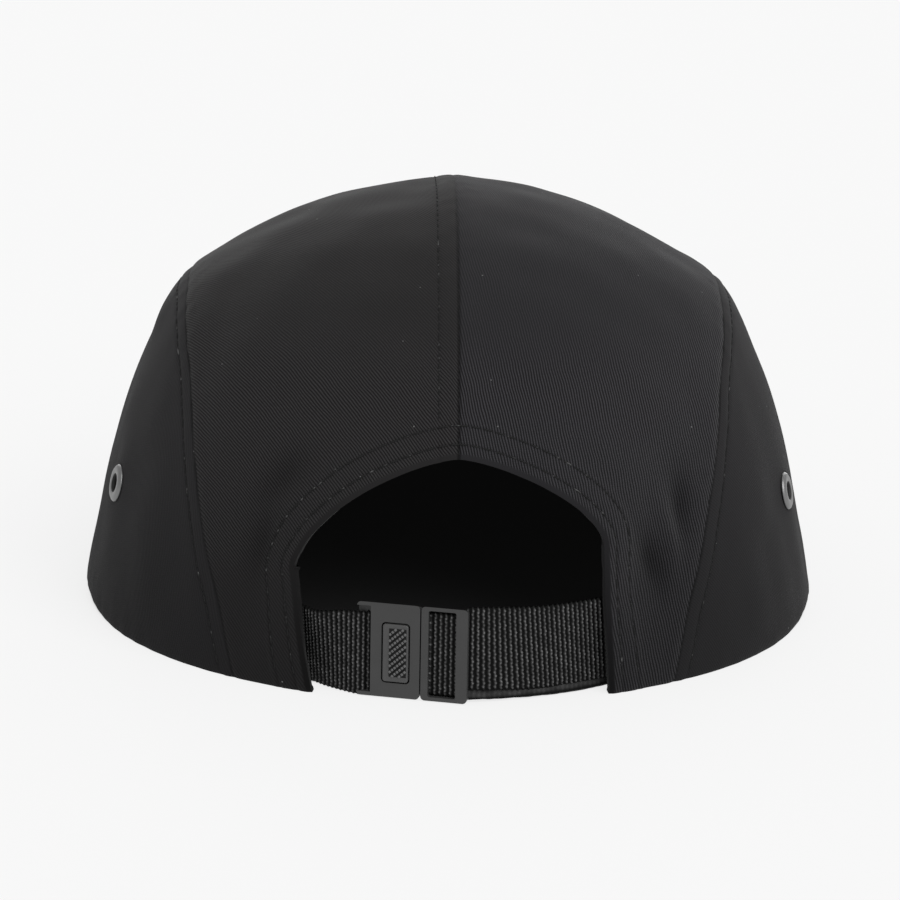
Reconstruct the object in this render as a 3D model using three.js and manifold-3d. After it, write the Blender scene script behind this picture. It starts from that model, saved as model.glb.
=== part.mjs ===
// Five panel cap with a webbing strap and a side-release slide buckle across the opening at the back.
// Millimetres, +Z up. The peak points to -Y and the strap is at +Y; left and right are the wearer's,
// so left is +X. The crown is drawn about the middle of its rim, and the finished cap is then moved so
// that its origin is the middle of its footprint on the table.

import * as THREE from 'three';
import { mergeVertices } from 'three/addons/utils/BufferGeometryUtils.js';
import Module from 'manifold-3d';

// Cloth and seams
const clothWall = 1.5;
const seamGap = 0.3;
const fitGap = 0.3;

// Crown: half of its width, its reach to the back and the front of the rim, and its height
const crownHalfWidth = 91.3;
const crownBackReach = 96;
const crownFrontReach = 98;
const crownHeight = 102.6;

// The rim stays on the table at the back, and rises a little at the ears and more over the peak
const earLift = 1.8;
const earSpread = 0.5;
const peakLift = 16;

// Small forms of the crown surface: a ridge on the centre seam, a crest on the side seams, soft dents
const ridgeRise = 0.9;
const ridgeSpread = 0.06;
const crestRise = 1.0;
const crestSpread = 0.08;
const dentDepth = 2.2;

// Opening at the back: the height of its arch, and for each side the corner and the foot
const openingApexHeight = 54.7;
const archPower = 1.5;
const openingSides = {
  left: { cornerReach: 39.4, cornerHeight: 28.3, footReach: 33.4 },
  right: { cornerReach: 34.5, cornerHeight: 34.7, footReach: 36.0 },
};

// Peak
const peakReach = 68;
const peakThickness = 3;
const peakHalfWidth = 78.5;
const peakCornerBack = 55;
const peakSeamAllowance = 4;
const peakOutlinePower = 2.3;

// Eyelets, one on each side panel
const eyeletHeight = 33;
const eyeletBack = 26;
const eyeletOuterRadius = 4.65;
const eyeletHoleRadius = 2.0;
const eyeletBarrelRadius = 2.8;
const eyeletFlange = 0.9;
const eyeletRounding = 0.35;
const eyeletSides = 16;
const eyeletInnerGap = 0.5;

// Strap: two lengths of webbing that meet in the buckle, and the free end behind the right one
const strapWidth = 20;
const strapThickness = 1.4;
const strapFloorGap = 2.65;
const strapSeatGap = 0.8;
const strapBow = 4.5;
const strapEndReach = 50;
const strapLeftSag = 0.8;
const strapLeftTuck = 4.5;
const strapLeftBulge = 1.6;
const strapLeftFreeReach = 38;
const strapRightSag = 0.8;
const strapDip = 1.1;
const strapDipReach = 12;
const tailEndReach = 44;
const tailDrop = 2.45;
const tailLayerGap = 0.6;

// Buckle: a plate with the release button on the left, and a slotted frame on the right. The left
// strap lies in front of the plate's end bar, and the right strap runs behind the frame's end bar.
const buckleHeight = 22.6;
const buckleLeftReach = 22.6;
const buckleRightReach = -2.8;
const buckleThickness = 3.4;
const buckleCorner = 1;
const barThickness = 1.4;
const plateLength = 15;
const plateBar = 3.3;
const partingGap = 0.3;
const windowLength = 6.8;
const windowHeight = 14.6;
const windowFromLeft = 5.9;
const windowFloor = 3.5;
const buttonGap = 0.35;
const buttonProud = 0.4;
const frameLeftBar = 1.7;
const frameRightBar = 2.7;
const railClearance = 0.4;

// Facets
const backColumns = 28;
const backRows = 12;
const frontCornerColumn = 7;
const openingCornerColumn = 18;
const sideColumns = 18;
const sideRows = 10;
const frontColumns = 22;
const frontRows = 10;
const peakColumns = 24;
const peakRows = 6;
const strapSteps = 16;

// Colours
const blackTwill = { color: 0x232427, roughness: 0.95, metalness: 0 };
const blackWebbing = { color: 0x1d1e20, roughness: 0.85, metalness: 0 };
const gunmetal = { color: 0x3a3b3d, roughness: 0.4, metalness: 0.9 };
const blackPlastic = { color: 0x2a2b2d, roughness: 0.55, metalness: 0 };

// How wide and how deep the crown is at each share of its height, as shares of its size at the rim
const crownProfile = [
  { height: 0.0, side: 1.0, back: 1.0, front: 1.0 },
  { height: 0.2, side: 0.979, back: 1.0, front: 1.02 },
  { height: 0.4, side: 0.996, back: 1.01, front: 1.06 },
  { height: 0.6, side: 1.046, back: 1.03, front: 1.1 },
  { height: 0.75, side: 1.117, back: 1.05, front: 1.12 },
  { height: 0.88, side: 1.102, back: 1.06, front: 1.1 },
  { height: 1.0, side: 1.0, back: 1.06, front: 1.06 },
];

// Side seam, from the back of the rim over the top: the turn about the X axis in degrees, and how far
// out the seam lies there as a share of the half width
const sideSeam = [
  { turn: 0, across: 0.57 },
  { turn: 10, across: 0.62 },
  { turn: 20, across: 0.658 },
  { turn: 32, across: 0.674 },
  { turn: 45, across: 0.67 },
  { turn: 58, across: 0.655 },
  { turn: 75, across: 0.64 },
  { turn: 100, across: 0.635 },
  { turn: 128, across: 0.6 },
];
const topTurn = 128;
const topCornerAcross = 0.6;

// Where the front side seam meets the rim
const frontFootAcross = 0.84;

// Dents, with the place as across and turn, the spread as an angle and the depth as a share
const dents = [
  { across: -0.57, turn: 29, spread: 9, depth: 0.8 },
  { across: -0.53, turn: 15, spread: 8, depth: 1.0 },
  { across: 0.45, turn: 30, spread: 10, depth: 0.9 },
  { across: 0.5, turn: 17, spread: 8, depth: 1.0 },
];

const wasm = await Module();
wasm.setup();

// Smooth value of one column of a table at a place in its first column
function smooth(table, place, column, at) {
  let row = 0;
  while (row < table.length - 2 && at > table[row + 1][place]) row += 1;
  const slope = (i) => {
    const before = Math.max(i - 1, 0);
    const after = Math.min(i + 1, table.length - 1);
    return (table[after][column] - table[before][column]) / (table[after][place] - table[before][place]);
  };
  const span = table[row + 1][place] - table[row][place];
  const t = (at - table[row][place]) / span;
  const rise = t * t * (3 - 2 * t);
  const startPull = t * (1 - t) ** 2 * span * slope(row);
  const endPull = t * t * (t - 1) * span * slope(row + 1);
  return table[row][column] + (table[row + 1][column] - table[row][column]) * rise + startPull + endPull;
}

// Unit direction at a share across and a turn in degrees about the X axis from the back of the rim
function direction(across, turn) {
  const angle = THREE.MathUtils.degToRad(turn);
  const rest = Math.sqrt(1 - across * across);
  return new THREE.Vector3(across, rest * Math.cos(angle), rest * Math.sin(angle));
}

// Unit direction of the back of the crown at a width and a height in millimetres
function backDirection(x, z) {
  const up = z / crownHeight;
  const across = x / (crownHalfWidth * smooth(crownProfile, 'height', 'side', up));
  return new THREE.Vector3(across, Math.sqrt(1 - across * across - up * up), up);
}

// How far the small forms stand out from the plain crown
function relief(u) {
  const turn = THREE.MathUtils.radToDeg(Math.atan2(u.z, u.y));
  const onTop = u.z * u.z;
  const seam = smooth(sideSeam, 'turn', 'across', THREE.MathUtils.clamp(turn, 0, topTurn));
  let rise = ridgeRise * onTop * Math.exp(-((u.x / ridgeSpread) ** 2));
  rise += crestRise * onTop * Math.exp(-(((Math.abs(u.x) - seam) / crestSpread) ** 2));
  for (const dent of dents) {
    const away = THREE.MathUtils.radToDeg(u.angleTo(direction(dent.across, dent.turn)));
    rise -= dentDepth * dent.depth * Math.exp(-((away / dent.spread) ** 2));
  }
  return rise;
}

// Height of the rim above the table, before it fades out up the crown
function rimLift(u) {
  const front = u.y < 0 ? peakLift * u.y * u.y : 0;
  const ear = earLift * Math.max(0, 1 - (u.y / earSpread) ** 2) ** 2;
  return front + ear;
}

// Outside of the crown in a unit direction
function crownPoint(u) {
  const reach = u.y > 0 ? crownBackReach : crownFrontReach;
  const deep = smooth(crownProfile, 'height', u.y > 0 ? 'back' : 'front', u.z);
  const wide = smooth(crownProfile, 'height', 'side', u.z);
  const lift = rimLift(u) * (1 - u.z) ** 2;
  const point = new THREE.Vector3(crownHalfWidth * wide * u.x, reach * deep * u.y, crownHeight * u.z + lift);
  return point.addScaledVector(u, relief(u));
}

// Outward normal of the crown, level at the rim so that the rim's edge is cut level
function crownNormal(u) {
  const step = 0.01;
  const first = new THREE.Vector3(-u.y, u.x, 0.3).cross(u).normalize();
  const second = new THREE.Vector3().crossVectors(u, first);
  const along = (tangent) => {
    const ahead = crownPoint(u.clone().addScaledVector(tangent, step).normalize());
    return ahead.sub(crownPoint(u.clone().addScaledVector(tangent, -step).normalize()));
  };
  const normal = along(first).cross(along(second)).normalize();
  if (u.z < 1e-6) normal.setZ(0).normalize();
  return normal;
}

// Closed wall between two grids of points, outer and inner, each a function of column and row
function wallBetween(outer, inner, columns, rows) {
  const positions = [];
  const faces = [];
  const stride = rows + 1;
  const layer = (columns + 1) * stride;
  for (const face of [outer, inner]) {
    for (let i = 0; i <= columns; i += 1) {
      for (let j = 0; j <= rows; j += 1) positions.push(...face(i, j).toArray());
    }
  }
  const quad = (a, b, c, d) => faces.push(a, b, c, a, c, d);
  const at = (i, j) => i * stride + j;
  for (let i = 0; i < columns; i += 1) {
    for (let j = 0; j < rows; j += 1) {
      quad(at(i, j), at(i + 1, j), at(i + 1, j + 1), at(i, j + 1));
      quad(layer + at(i, j), layer + at(i, j + 1), layer + at(i + 1, j + 1), layer + at(i + 1, j));
    }
  }
  for (let i = 0; i < columns; i += 1) {
    quad(at(i, 0), layer + at(i, 0), layer + at(i + 1, 0), at(i + 1, 0));
    quad(at(i, rows), at(i + 1, rows), layer + at(i + 1, rows), layer + at(i, rows));
  }
  for (let j = 0; j < rows; j += 1) {
    quad(at(0, j), at(0, j + 1), layer + at(0, j + 1), layer + at(0, j));
    quad(at(columns, j), layer + at(columns, j), layer + at(columns, j + 1), at(columns, j + 1));
  }
  const geometry = new THREE.BufferGeometry();
  geometry.setAttribute('position', new THREE.Float32BufferAttribute(positions, 3));
  geometry.setIndex(faces);
  return outward(geometry);
}

// The same closed geometry with its faces pointing out
function outward(geometry) {
  const index = geometry.getIndex();
  const place = geometry.getAttribute('position');
  const corner = [new THREE.Vector3(), new THREE.Vector3(), new THREE.Vector3()];
  let volume = 0;
  for (let f = 0; f < index.count; f += 3) {
    corner.forEach((point, k) => point.fromBufferAttribute(place, index.getX(f + k)));
    volume += corner[0].dot(corner[1].clone().cross(corner[2]));
  }
  if (volume < 0) {
    for (let f = 0; f < index.count; f += 3) {
      const kept = index.getX(f + 1);
      index.setX(f + 1, index.getX(f + 2));
      index.setX(f + 2, kept);
    }
  }
  geometry.computeVertexNormals();
  return geometry;
}

// Cloth wall over a patch of unit directions, which is a function of shares along its two sides
function clothPanel(patch, columns, rows) {
  const directions = [];
  for (let i = 0; i <= columns; i += 1) {
    directions.push([]);
    for (let j = 0; j <= rows; j += 1) directions[i].push(patch(i / columns, j / rows));
  }
  const outer = (i, j) => crownPoint(directions[i][j]);
  const inner = (i, j) => outer(i, j).addScaledVector(crownNormal(directions[i][j]), -clothWall);
  return wallBetween(outer, inner, columns, rows);
}

// Patch between four edges that meet at their ends: near and far run along u, start and end along v
function patchBetween(near, far, start, end) {
  return (u, v) => {
    const point = new THREE.Vector3();
    point.addScaledVector(near(u), 1 - v).addScaledVector(far(u), v);
    point.addScaledVector(start(v), 1 - u).addScaledVector(end(v), u);
    point.addScaledVector(near(0), -(1 - u) * (1 - v)).addScaledVector(near(1), -u * (1 - v));
    point.addScaledVector(far(0), -(1 - u) * v).addScaledVector(far(1), -u * v);
    if (Math.abs(point.z) < 1e-9) point.z = 0;
    return point.normalize();
  };
}

// Half a seam gap, as a share across and as a turn
const halfGapAcross = seamGap / 2 / crownHalfWidth;
const halfGapTurn = THREE.MathUtils.radToDeg(seamGap / 2 / crownHeight);

// Point of the side seam at a turn, moved across by half a gap times a shift of -1 or 1
function seamPoint(sign, turn, shift) {
  const across = smooth(sideSeam, 'turn', 'across', turn) + shift * halfGapAcross;
  return direction(sign * across, turn);
}

// Point on the rim at a bearing from the back in degrees
function rimPoint(sign, bearing) {
  const angle = THREE.MathUtils.degToRad(bearing);
  return new THREE.Vector3(sign * Math.sin(angle), Math.cos(angle), 0);
}

function bearingOf(u) {
  return THREE.MathUtils.radToDeg(Math.atan2(Math.abs(u.x), u.y));
}

// Edge of the opening from the top of its arch, share 0, to the rim, share 1
function openingEdge(side, share) {
  const { cornerReach, cornerHeight, footReach } = openingSides[side.name];
  const cornerShare = openingCornerColumn / backColumns;
  if (share <= cornerShare) {
    const angle = (share / cornerShare) * (Math.PI / 2);
    const across = Math.sin(angle) ** (2 / archPower) * cornerReach;
    const up = Math.max(Math.cos(angle), 0) ** (2 / archPower) * (openingApexHeight - cornerHeight);
    return backDirection(side.sign * Math.max(across, seamGap / 2), cornerHeight + up);
  }
  const down = (share - cornerShare) / (1 - cornerShare);
  const across = THREE.MathUtils.lerp(cornerReach, footReach, down);
  return backDirection(side.sign * across, cornerHeight * (1 - down));
}

// Back panel: from the opening out to the seams on the front panel and on the side panel
function backPanel(side) {
  const topEdgeTurn = topTurn - halfGapTurn;
  const cornerShare = frontCornerColumn / backColumns;
  const near = (u) => openingEdge(side, u);
  const far = (u) => {
    if (u <= cornerShare) {
      const across = THREE.MathUtils.lerp(halfGapAcross, topCornerAcross - halfGapAcross, u / cornerShare);
      return direction(side.sign * across, topEdgeTurn);
    }
    return seamPoint(side.sign, topEdgeTurn * (1 - (u - cornerShare) / (1 - cornerShare)), -1);
  };
  const apex = near(0);
  const apexTurn = THREE.MathUtils.radToDeg(Math.atan2(apex.z, apex.y));
  const start = (v) => direction(side.sign * halfGapAcross, THREE.MathUtils.lerp(apexTurn, topEdgeTurn, v));
  const footBearing = bearingOf(near(1));
  const seamBearing = bearingOf(far(1));
  const end = (v) => rimPoint(side.sign, THREE.MathUtils.lerp(footBearing, seamBearing, v));
  return clothPanel(patchBetween(near, far, start, end), backColumns, backRows);
}

// Front side seam from the rim, share 0, to the corner with the top seam, share 1
function frontSeamPoint(sign, share, shift) {
  const foot = new THREE.Vector3(frontFootAcross, -Math.sqrt(1 - frontFootAcross ** 2), 0);
  const corner = direction(topCornerAcross, topTurn);
  const point = foot.lerp(corner, share);
  point.y += shift * halfGapAcross;
  point.x *= sign;
  return point.normalize();
}

// Side panel: a rounded triangle on the rim between the front seam and the side seam
function sidePanel(side) {
  const shoulderTurn = 62;
  const cornerTurn = topTurn;
  const near = (u) => {
    const first = bearingOf(seamPoint(side.sign, 0, 1));
    const last = bearingOf(frontSeamPoint(side.sign, 0, 1));
    return rimPoint(side.sign, THREE.MathUtils.lerp(first, last, u));
  };
  const corner = frontSeamPoint(side.sign, 1, 1);
  const far = (u) => {
    const point = seamPoint(side.sign, THREE.MathUtils.lerp(shoulderTurn, cornerTurn, u), 1);
    return point.lerp(corner, u ** 4).normalize();
  };
  const start = (v) => seamPoint(side.sign, shoulderTurn * v, 1);
  const end = (v) => frontSeamPoint(side.sign, v, 1);
  return clothPanel(patchBetween(near, far, start, end), sideColumns, sideRows);
}

// Front panel: from the rim over the peak up to the top seam
function frontPanel() {
  const lowest = bearingOf(frontSeamPoint(1, 0, -1));
  const near = (u) => {
    const bearing = THREE.MathUtils.lerp(-(180 - lowest), 180 - lowest, u);
    const angle = THREE.MathUtils.degToRad(bearing);
    return new THREE.Vector3(Math.sin(angle), -Math.cos(angle), 0);
  };
  const corner = frontSeamPoint(1, 1, -1);
  const cornerTurn = THREE.MathUtils.radToDeg(Math.atan2(corner.z, corner.y));
  const middleTurn = topTurn + halfGapTurn;
  const far = (u) => {
    const share = 2 * u - 1;
    return direction(share * corner.x, THREE.MathUtils.lerp(middleTurn, cornerTurn, Math.abs(share) ** 6));
  };
  const start = (v) => frontSeamPoint(-1, v, -1);
  const end = (v) => frontSeamPoint(1, v, -1);
  return clothPanel(patchBetween(near, far, start, end), frontColumns, frontRows);
}

// Peak: its inner edge lies under the front rim, it curves down to the sides with the rim, and it falls
// forward just enough for its lower side edges to touch the table
function peakGeometry() {
  const seamBearing = THREE.MathUtils.degToRad(180 - bearingOf(frontSeamPoint(1, 0, 0)));
  const spread = (i) => (2 * i) / peakColumns - 1;
  const rimDirection = (s) => {
    const angle = s * seamBearing;
    return new THREE.Vector3(Math.sin(angle), -Math.cos(angle), 0);
  };
  const innerEdge = (s) => {
    const u = rimDirection(s);
    const allowance = 1 - peakSeamAllowance / crownHalfWidth;
    return new THREE.Vector2(crownHalfWidth * u.x * allowance, crownFrontReach * u.y * allowance);
  };
  const outerEdge = (s) => {
    const angle = (s * Math.PI) / 2;
    const x = Math.sign(s) * Math.abs(Math.sin(angle)) ** (2 / peakOutlinePower) * peakHalfWidth;
    const ahead = crownFrontReach + peakReach - peakCornerBack;
    return new THREE.Vector2(x, -peakCornerBack - ahead * Math.max(Math.cos(angle), 0) ** (2 / peakOutlinePower));
  };
  const seatHeight = (s) => rimLift(rimDirection(s)) - fitGap;
  let fall = Infinity;
  for (let i = 0; i <= peakColumns; i += 1) {
    const s = spread(i);
    const under = seatHeight(s) - peakThickness;
    fall = Math.min(fall, under / outerEdge(s).distanceTo(innerEdge(s)));
  }
  const top = (i, j) => {
    const s = spread(i);
    const from = innerEdge(s);
    const plan = from.clone().lerp(outerEdge(s), j / peakRows);
    return new THREE.Vector3(plan.x, plan.y, seatHeight(s) - fall * plan.distanceTo(from));
  };
  const bottom = (i, j) => top(i, j).add(new THREE.Vector3(0, 0, -peakThickness));
  return wallBetween(top, bottom, peakColumns, peakRows);
}

// Direction of the crown at an eyelet
function eyeletDirection(side) {
  const up = (eyeletHeight - earLift / 2) / crownHeight;
  const back = eyeletBack / crownBackReach;
  return new THREE.Vector3(side.sign * Math.sqrt(1 - up * up - back * back), back, up);
}

// Turn that takes +Y to the crown's normal at an eyelet, with the place of the eyelet
function eyeletPose(side) {
  const u = eyeletDirection(side);
  const quaternion = new THREE.Quaternion().setFromUnitVectors(new THREE.Vector3(0, 1, 0), crownNormal(u));
  return new THREE.Matrix4().compose(crownPoint(u), quaternion, new THREE.Vector3(1, 1, 1));
}

// Eyelet ring round its own +Y axis: an outer flange, a barrel through the cloth and an inner flange
function eyeletRing() {
  const under = -clothWall - eyeletInnerGap;
  const crest = fitGap + eyeletFlange;
  const profile = [
    [eyeletHoleRadius, under - eyeletFlange],
    [eyeletOuterRadius - eyeletRounding, under - eyeletFlange],
    [eyeletOuterRadius, under],
    [eyeletBarrelRadius, under],
    [eyeletBarrelRadius, fitGap],
    [eyeletOuterRadius, fitGap],
    [eyeletOuterRadius - eyeletRounding, crest - eyeletRounding],
    [eyeletOuterRadius - 3 * eyeletRounding, crest],
    [eyeletHoleRadius + eyeletRounding, crest - eyeletRounding],
    [eyeletHoleRadius, fitGap],
    [eyeletHoleRadius, under - eyeletFlange],
  ];
  const ring = new THREE.LatheGeometry(profile.map(([r, h]) => new THREE.Vector2(r, h)), eyeletSides);
  return outward(merged(ring));
}

// Geometry with only its places, and its shared corners merged
function merged(geometry) {
  const plain = geometry.clone();
  plain.deleteAttribute('normal');
  plain.deleteAttribute('uv');
  return mergeVertices(plain, 1e-4);
}

function toSolid(geometry) {
  const plain = merged(geometry);
  const vertProperties = new Float32Array(plain.getAttribute('position').array);
  const triVerts = new Uint32Array(plain.getIndex().array);
  return new wasm.Manifold(new wasm.Mesh({ numProp: 3, vertProperties, triVerts }));
}

function toGeometry(solid) {
  const mesh = solid.getMesh();
  const geometry = new THREE.BufferGeometry();
  geometry.setAttribute('position', new THREE.Float32BufferAttribute(mesh.vertProperties, 3));
  geometry.setIndex([...mesh.triVerts]);
  geometry.computeVertexNormals();
  return geometry;
}

// Side panel with the hole for its eyelet
function piercedSidePanel(side) {
  const drill = new THREE.CylinderGeometry(
    eyeletBarrelRadius + fitGap, eyeletBarrelRadius + fitGap, 8 * clothWall, eyeletSides);
  drill.applyMatrix4(eyeletPose(side));
  return toGeometry(toSolid(sidePanel(side)).subtract(toSolid(drill)));
}

// Outer face of the strap in plan, without the buckle: inside the back panels at its ends, and
// bowed out a little across the opening
function strapCurve(x) {
  let inside = Infinity;
  for (let step = 0; step <= 4; step += 1) {
    const u = backDirection(x, strapFloorGap + (strapWidth * step) / 4);
    inside = Math.min(inside, crownPoint(u).y - (clothWall + strapSeatGap) / crownNormal(u).y);
  }
  const reach = Math.min(openingSides.left.footReach, openingSides.right.footReach);
  const bow = Math.abs(x) < reach ? strapBow * Math.cos((x / reach) * (Math.PI / 2)) ** 2 : 0;
  return new THREE.Vector2(x, inside + bow);
}

// The buckle holds the strap straight between its two ends. Along it, distances run from its middle
// to the left, and its plate ends where the frame begins.
const buckleLeft = strapCurve(buckleLeftReach);
const buckleRight = strapCurve(buckleRightReach);
const buckleLength = buckleLeft.distanceTo(buckleRight);
const buckleMiddle = buckleLeft.clone().lerp(buckleRight, 0.5);
const buckleAngle = Math.atan2(buckleLeft.y - buckleRight.y, buckleLeft.x - buckleRight.x);
const buckleOutward = new THREE.Vector2(-Math.sin(buckleAngle), Math.cos(buckleAngle));
const plateEnd = buckleLength / 2 - plateLength;

function strapOuter(x) {
  if (x < buckleRightReach || x > buckleLeftReach) return strapCurve(x);
  const share = (x - buckleRightReach) / (buckleLeftReach - buckleRightReach);
  return buckleRight.clone().lerp(buckleLeft, share);
}

// Place across of a point on the buckle, given as a distance from its middle towards its left end
function acrossAt(along) {
  return buckleMiddle.x + along * Math.cos(buckleAngle);
}

// Length of strap between two places across. It lies this far behind the outer face, or in front of
// it where the distance is negative, and this far below its usual height, and its lower edge is tucked
// in this far, each a function of place.
function strapPiece(fromX, toX, behind, below, tuck) {
  const face = (extra) => {
    const points = [];
    for (let i = 0; i <= strapSteps; i += 1) {
      const x = THREE.MathUtils.lerp(fromX, toX, i / strapSteps);
      const along = strapOuter(x + 0.5).sub(strapOuter(x - 0.5)).normalize();
      const inward = new THREE.Vector2(along.y, -along.x);
      points.push(strapOuter(x).addScaledVector(inward, behind(x) + extra));
    }
    return points;
  };
  const outline = new THREE.Shape([...face(0), ...face(strapThickness).reverse()]);
  const geometry = new THREE.ExtrudeGeometry(outline, { depth: strapWidth, bevelEnabled: false });
  const place = geometry.getAttribute('position');
  for (let i = 0; i < place.count; i += 1) {
    const x = place.getX(i);
    const share = place.getZ(i) / strapWidth;
    place.setY(i, place.getY(i) - tuck(x) * (1 - share));
    place.setZ(i, strapFloorGap - below(x) + share * Math.sqrt(strapWidth ** 2 - tuck(x) ** 2));
  }
  return outward(merged(geometry));
}

function level() {
  return 0;
}

// The left strap steps out to lie in front of the bar of the plate and bulges out before the panel. It
// sags towards the panel, where its lower edge is tucked in.
function leftStrap() {
  const end = acrossAt(buckleLength / 2 - plateBar) + fitGap;
  const forward = (x) => {
    const share = THREE.MathUtils.smoothstep(x, buckleLeftReach + 1, strapLeftFreeReach);
    return -barThickness * (1 - share) - strapLeftBulge * Math.sin(share * Math.PI);
  };
  const nearPanel = (x) => THREE.MathUtils.smoothstep(x, buckleLeftReach, openingSides.left.footReach);
  const sag = (x) => strapDip + strapLeftSag * nearPanel(x);
  return strapPiece(end, strapEndReach, forward, sag, (x) => strapLeftTuck * nearPanel(x));
}

// The right strap dips a little to the buckle and sags a little towards the panel
function rightStrap() {
  const end = acrossAt(plateEnd - partingGap - frameLeftBar) - fitGap;
  const dip = (x) => strapDip * (1 - THREE.MathUtils.smoothstep(-x, -buckleRightReach, strapDipReach));
  const sag = (x) => strapRightSag * THREE.MathUtils.smoothstep(-x, strapDipReach, openingSides.right.footReach);
  return strapPiece(-strapEndReach, end, level, (x) => dip(x) + sag(x), level);
}

function strapTail() {
  const depth = strapThickness + tailLayerGap;
  return strapPiece(-tailEndReach, acrossAt(plateEnd), () => depth, () => tailDrop, level);
}

// Rectangle with rounded corners, given by its left, lower, right and upper sides
function roundedRectangle(Kind, left, low, right, high, radius) {
  const outline = new Kind();
  outline.moveTo(left + radius, low);
  outline.lineTo(right - radius, low);
  outline.absarc(right - radius, low + radius, radius, -Math.PI / 2, 0);
  outline.lineTo(right, high - radius);
  outline.absarc(right - radius, high - radius, radius, 0, Math.PI / 2);
  outline.lineTo(left + radius, high);
  outline.absarc(left + radius, high - radius, radius, Math.PI / 2, Math.PI);
  outline.lineTo(left, low + radius);
  outline.absarc(left + radius, low + radius, radius, Math.PI, Math.PI * 1.5);
  return outline;
}

// Plate from an outline, with its back at Y = 0 and its front towards +Y
function plateGeometry(outline, thickness) {
  const geometry = new THREE.ExtrudeGeometry(outline, { depth: thickness, bevelEnabled: false, curveSegments: 3 });
  geometry.rotateX(Math.PI / 2);
  geometry.translate(0, thickness, 0);
  return outward(merged(geometry));
}

function plateWindow() {
  const left = buckleLength / 2 - windowFromLeft;
  return {
    left,
    right: left - windowLength,
    low: windowFloor,
    high: windowFloor + windowHeight,
  };
}

// Clear height between the two rails of the buckle, for the strap
const railOpening = strapWidth + 2 * railClearance;
const railLow = (buckleHeight - railOpening) / 2;
const railHigh = railLow + railOpening;

// Plate with a pocket at its left end, where the strap lies in front of the end bar
function bucklePlate() {
  const left = buckleLength / 2;
  const window = plateWindow();
  const outline = roundedRectangle(THREE.Shape, plateEnd, 0, left, buckleHeight, buckleCorner);
  outline.holes.push(roundedRectangle(
    THREE.Path, window.right, window.low, window.left, window.high, buckleCorner));
  const pocket = new THREE.BoxGeometry(2 * plateBar, buckleThickness, railOpening);
  pocket.translate(left, barThickness + buckleThickness / 2, buckleHeight / 2);
  return toGeometry(toSolid(plateGeometry(outline, buckleThickness)).subtract(toSolid(pocket)));
}

// Frame with a slot for the strap, and room behind its right bar for the strap to run through
function buckleFrame() {
  const right = -buckleLength / 2;
  const left = plateEnd - partingGap;
  const outline = roundedRectangle(THREE.Shape, right, 0, left, buckleHeight, buckleCorner);
  outline.holes.push(roundedRectangle(
    THREE.Path, right + frameRightBar, railLow, left - frameLeftBar, railHigh, buckleCorner / 2));
  const passage = new THREE.BoxGeometry(2 * frameRightBar + buckleCorner, buckleThickness, railOpening);
  const roof = buckleThickness - barThickness;
  passage.translate(right, roof - buckleThickness / 2, buckleHeight / 2);
  return toGeometry(toSolid(plateGeometry(outline, buckleThickness)).subtract(toSolid(passage)));
}

function releaseButton() {
  const window = plateWindow();
  const outline = roundedRectangle(
    THREE.Shape, window.right + buttonGap, window.low + buttonGap,
    window.left - buttonGap, window.high - buttonGap, buckleCorner - buttonGap);
  return plateGeometry(outline, buckleThickness + buttonProud);
}

function piece(name, geometry, finish) {
  const mesh = new THREE.Mesh(geometry, new THREE.MeshStandardMaterial(finish));
  mesh.name = name;
  return mesh;
}

const sides = [
  { name: 'left', sign: 1 },
  { name: 'right', sign: -1 },
];

const cap = new THREE.Group();
cap.add(piece('front_panel', frontPanel(), blackTwill));
for (const side of sides) {
  cap.add(piece(`side_panel_${side.name}`, piercedSidePanel(side), blackTwill));
  cap.add(piece(`back_panel_${side.name}`, backPanel(side), blackTwill));
  const eyelet = piece(`eyelet_${side.name}`, eyeletRing(), gunmetal);
  eyelet.applyMatrix4(eyeletPose(side));
  cap.add(eyelet);
}
cap.add(piece('peak', peakGeometry(), blackTwill));

cap.add(piece('strap_left', leftStrap(), blackWebbing));
cap.add(piece('strap_right', rightStrap(), blackWebbing));
cap.add(piece('strap_tail', strapTail(), blackWebbing));

const buckle = new THREE.Group();
buckle.add(piece('buckle_plate', bucklePlate(), blackPlastic));
buckle.add(piece('buckle_frame', buckleFrame(), blackPlastic));
buckle.add(piece('release_button', releaseButton(), blackPlastic));
const buckleBack = buckleMiddle.clone().addScaledVector(buckleOutward, -strapThickness - fitGap);
const strapMiddleHeight = strapFloorGap - strapDip + strapWidth / 2;
buckle.position.set(buckleBack.x, buckleBack.y, strapMiddleHeight - buckleHeight / 2);
buckle.rotation.z = buckleAngle;
cap.add(buckle);

// The finished cap with its origin in the middle of its footprint
const box = new THREE.Box3().setFromObject(cap);
const middle = box.getCenter(new THREE.Vector3());
cap.position.set(-middle.x, -middle.y, -box.min.z);

export default cap;
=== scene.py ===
import math

import bmesh
import bpy
import numpy as np
from mathutils import Matrix, Vector
from mathutils.kdtree import KDTree


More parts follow.
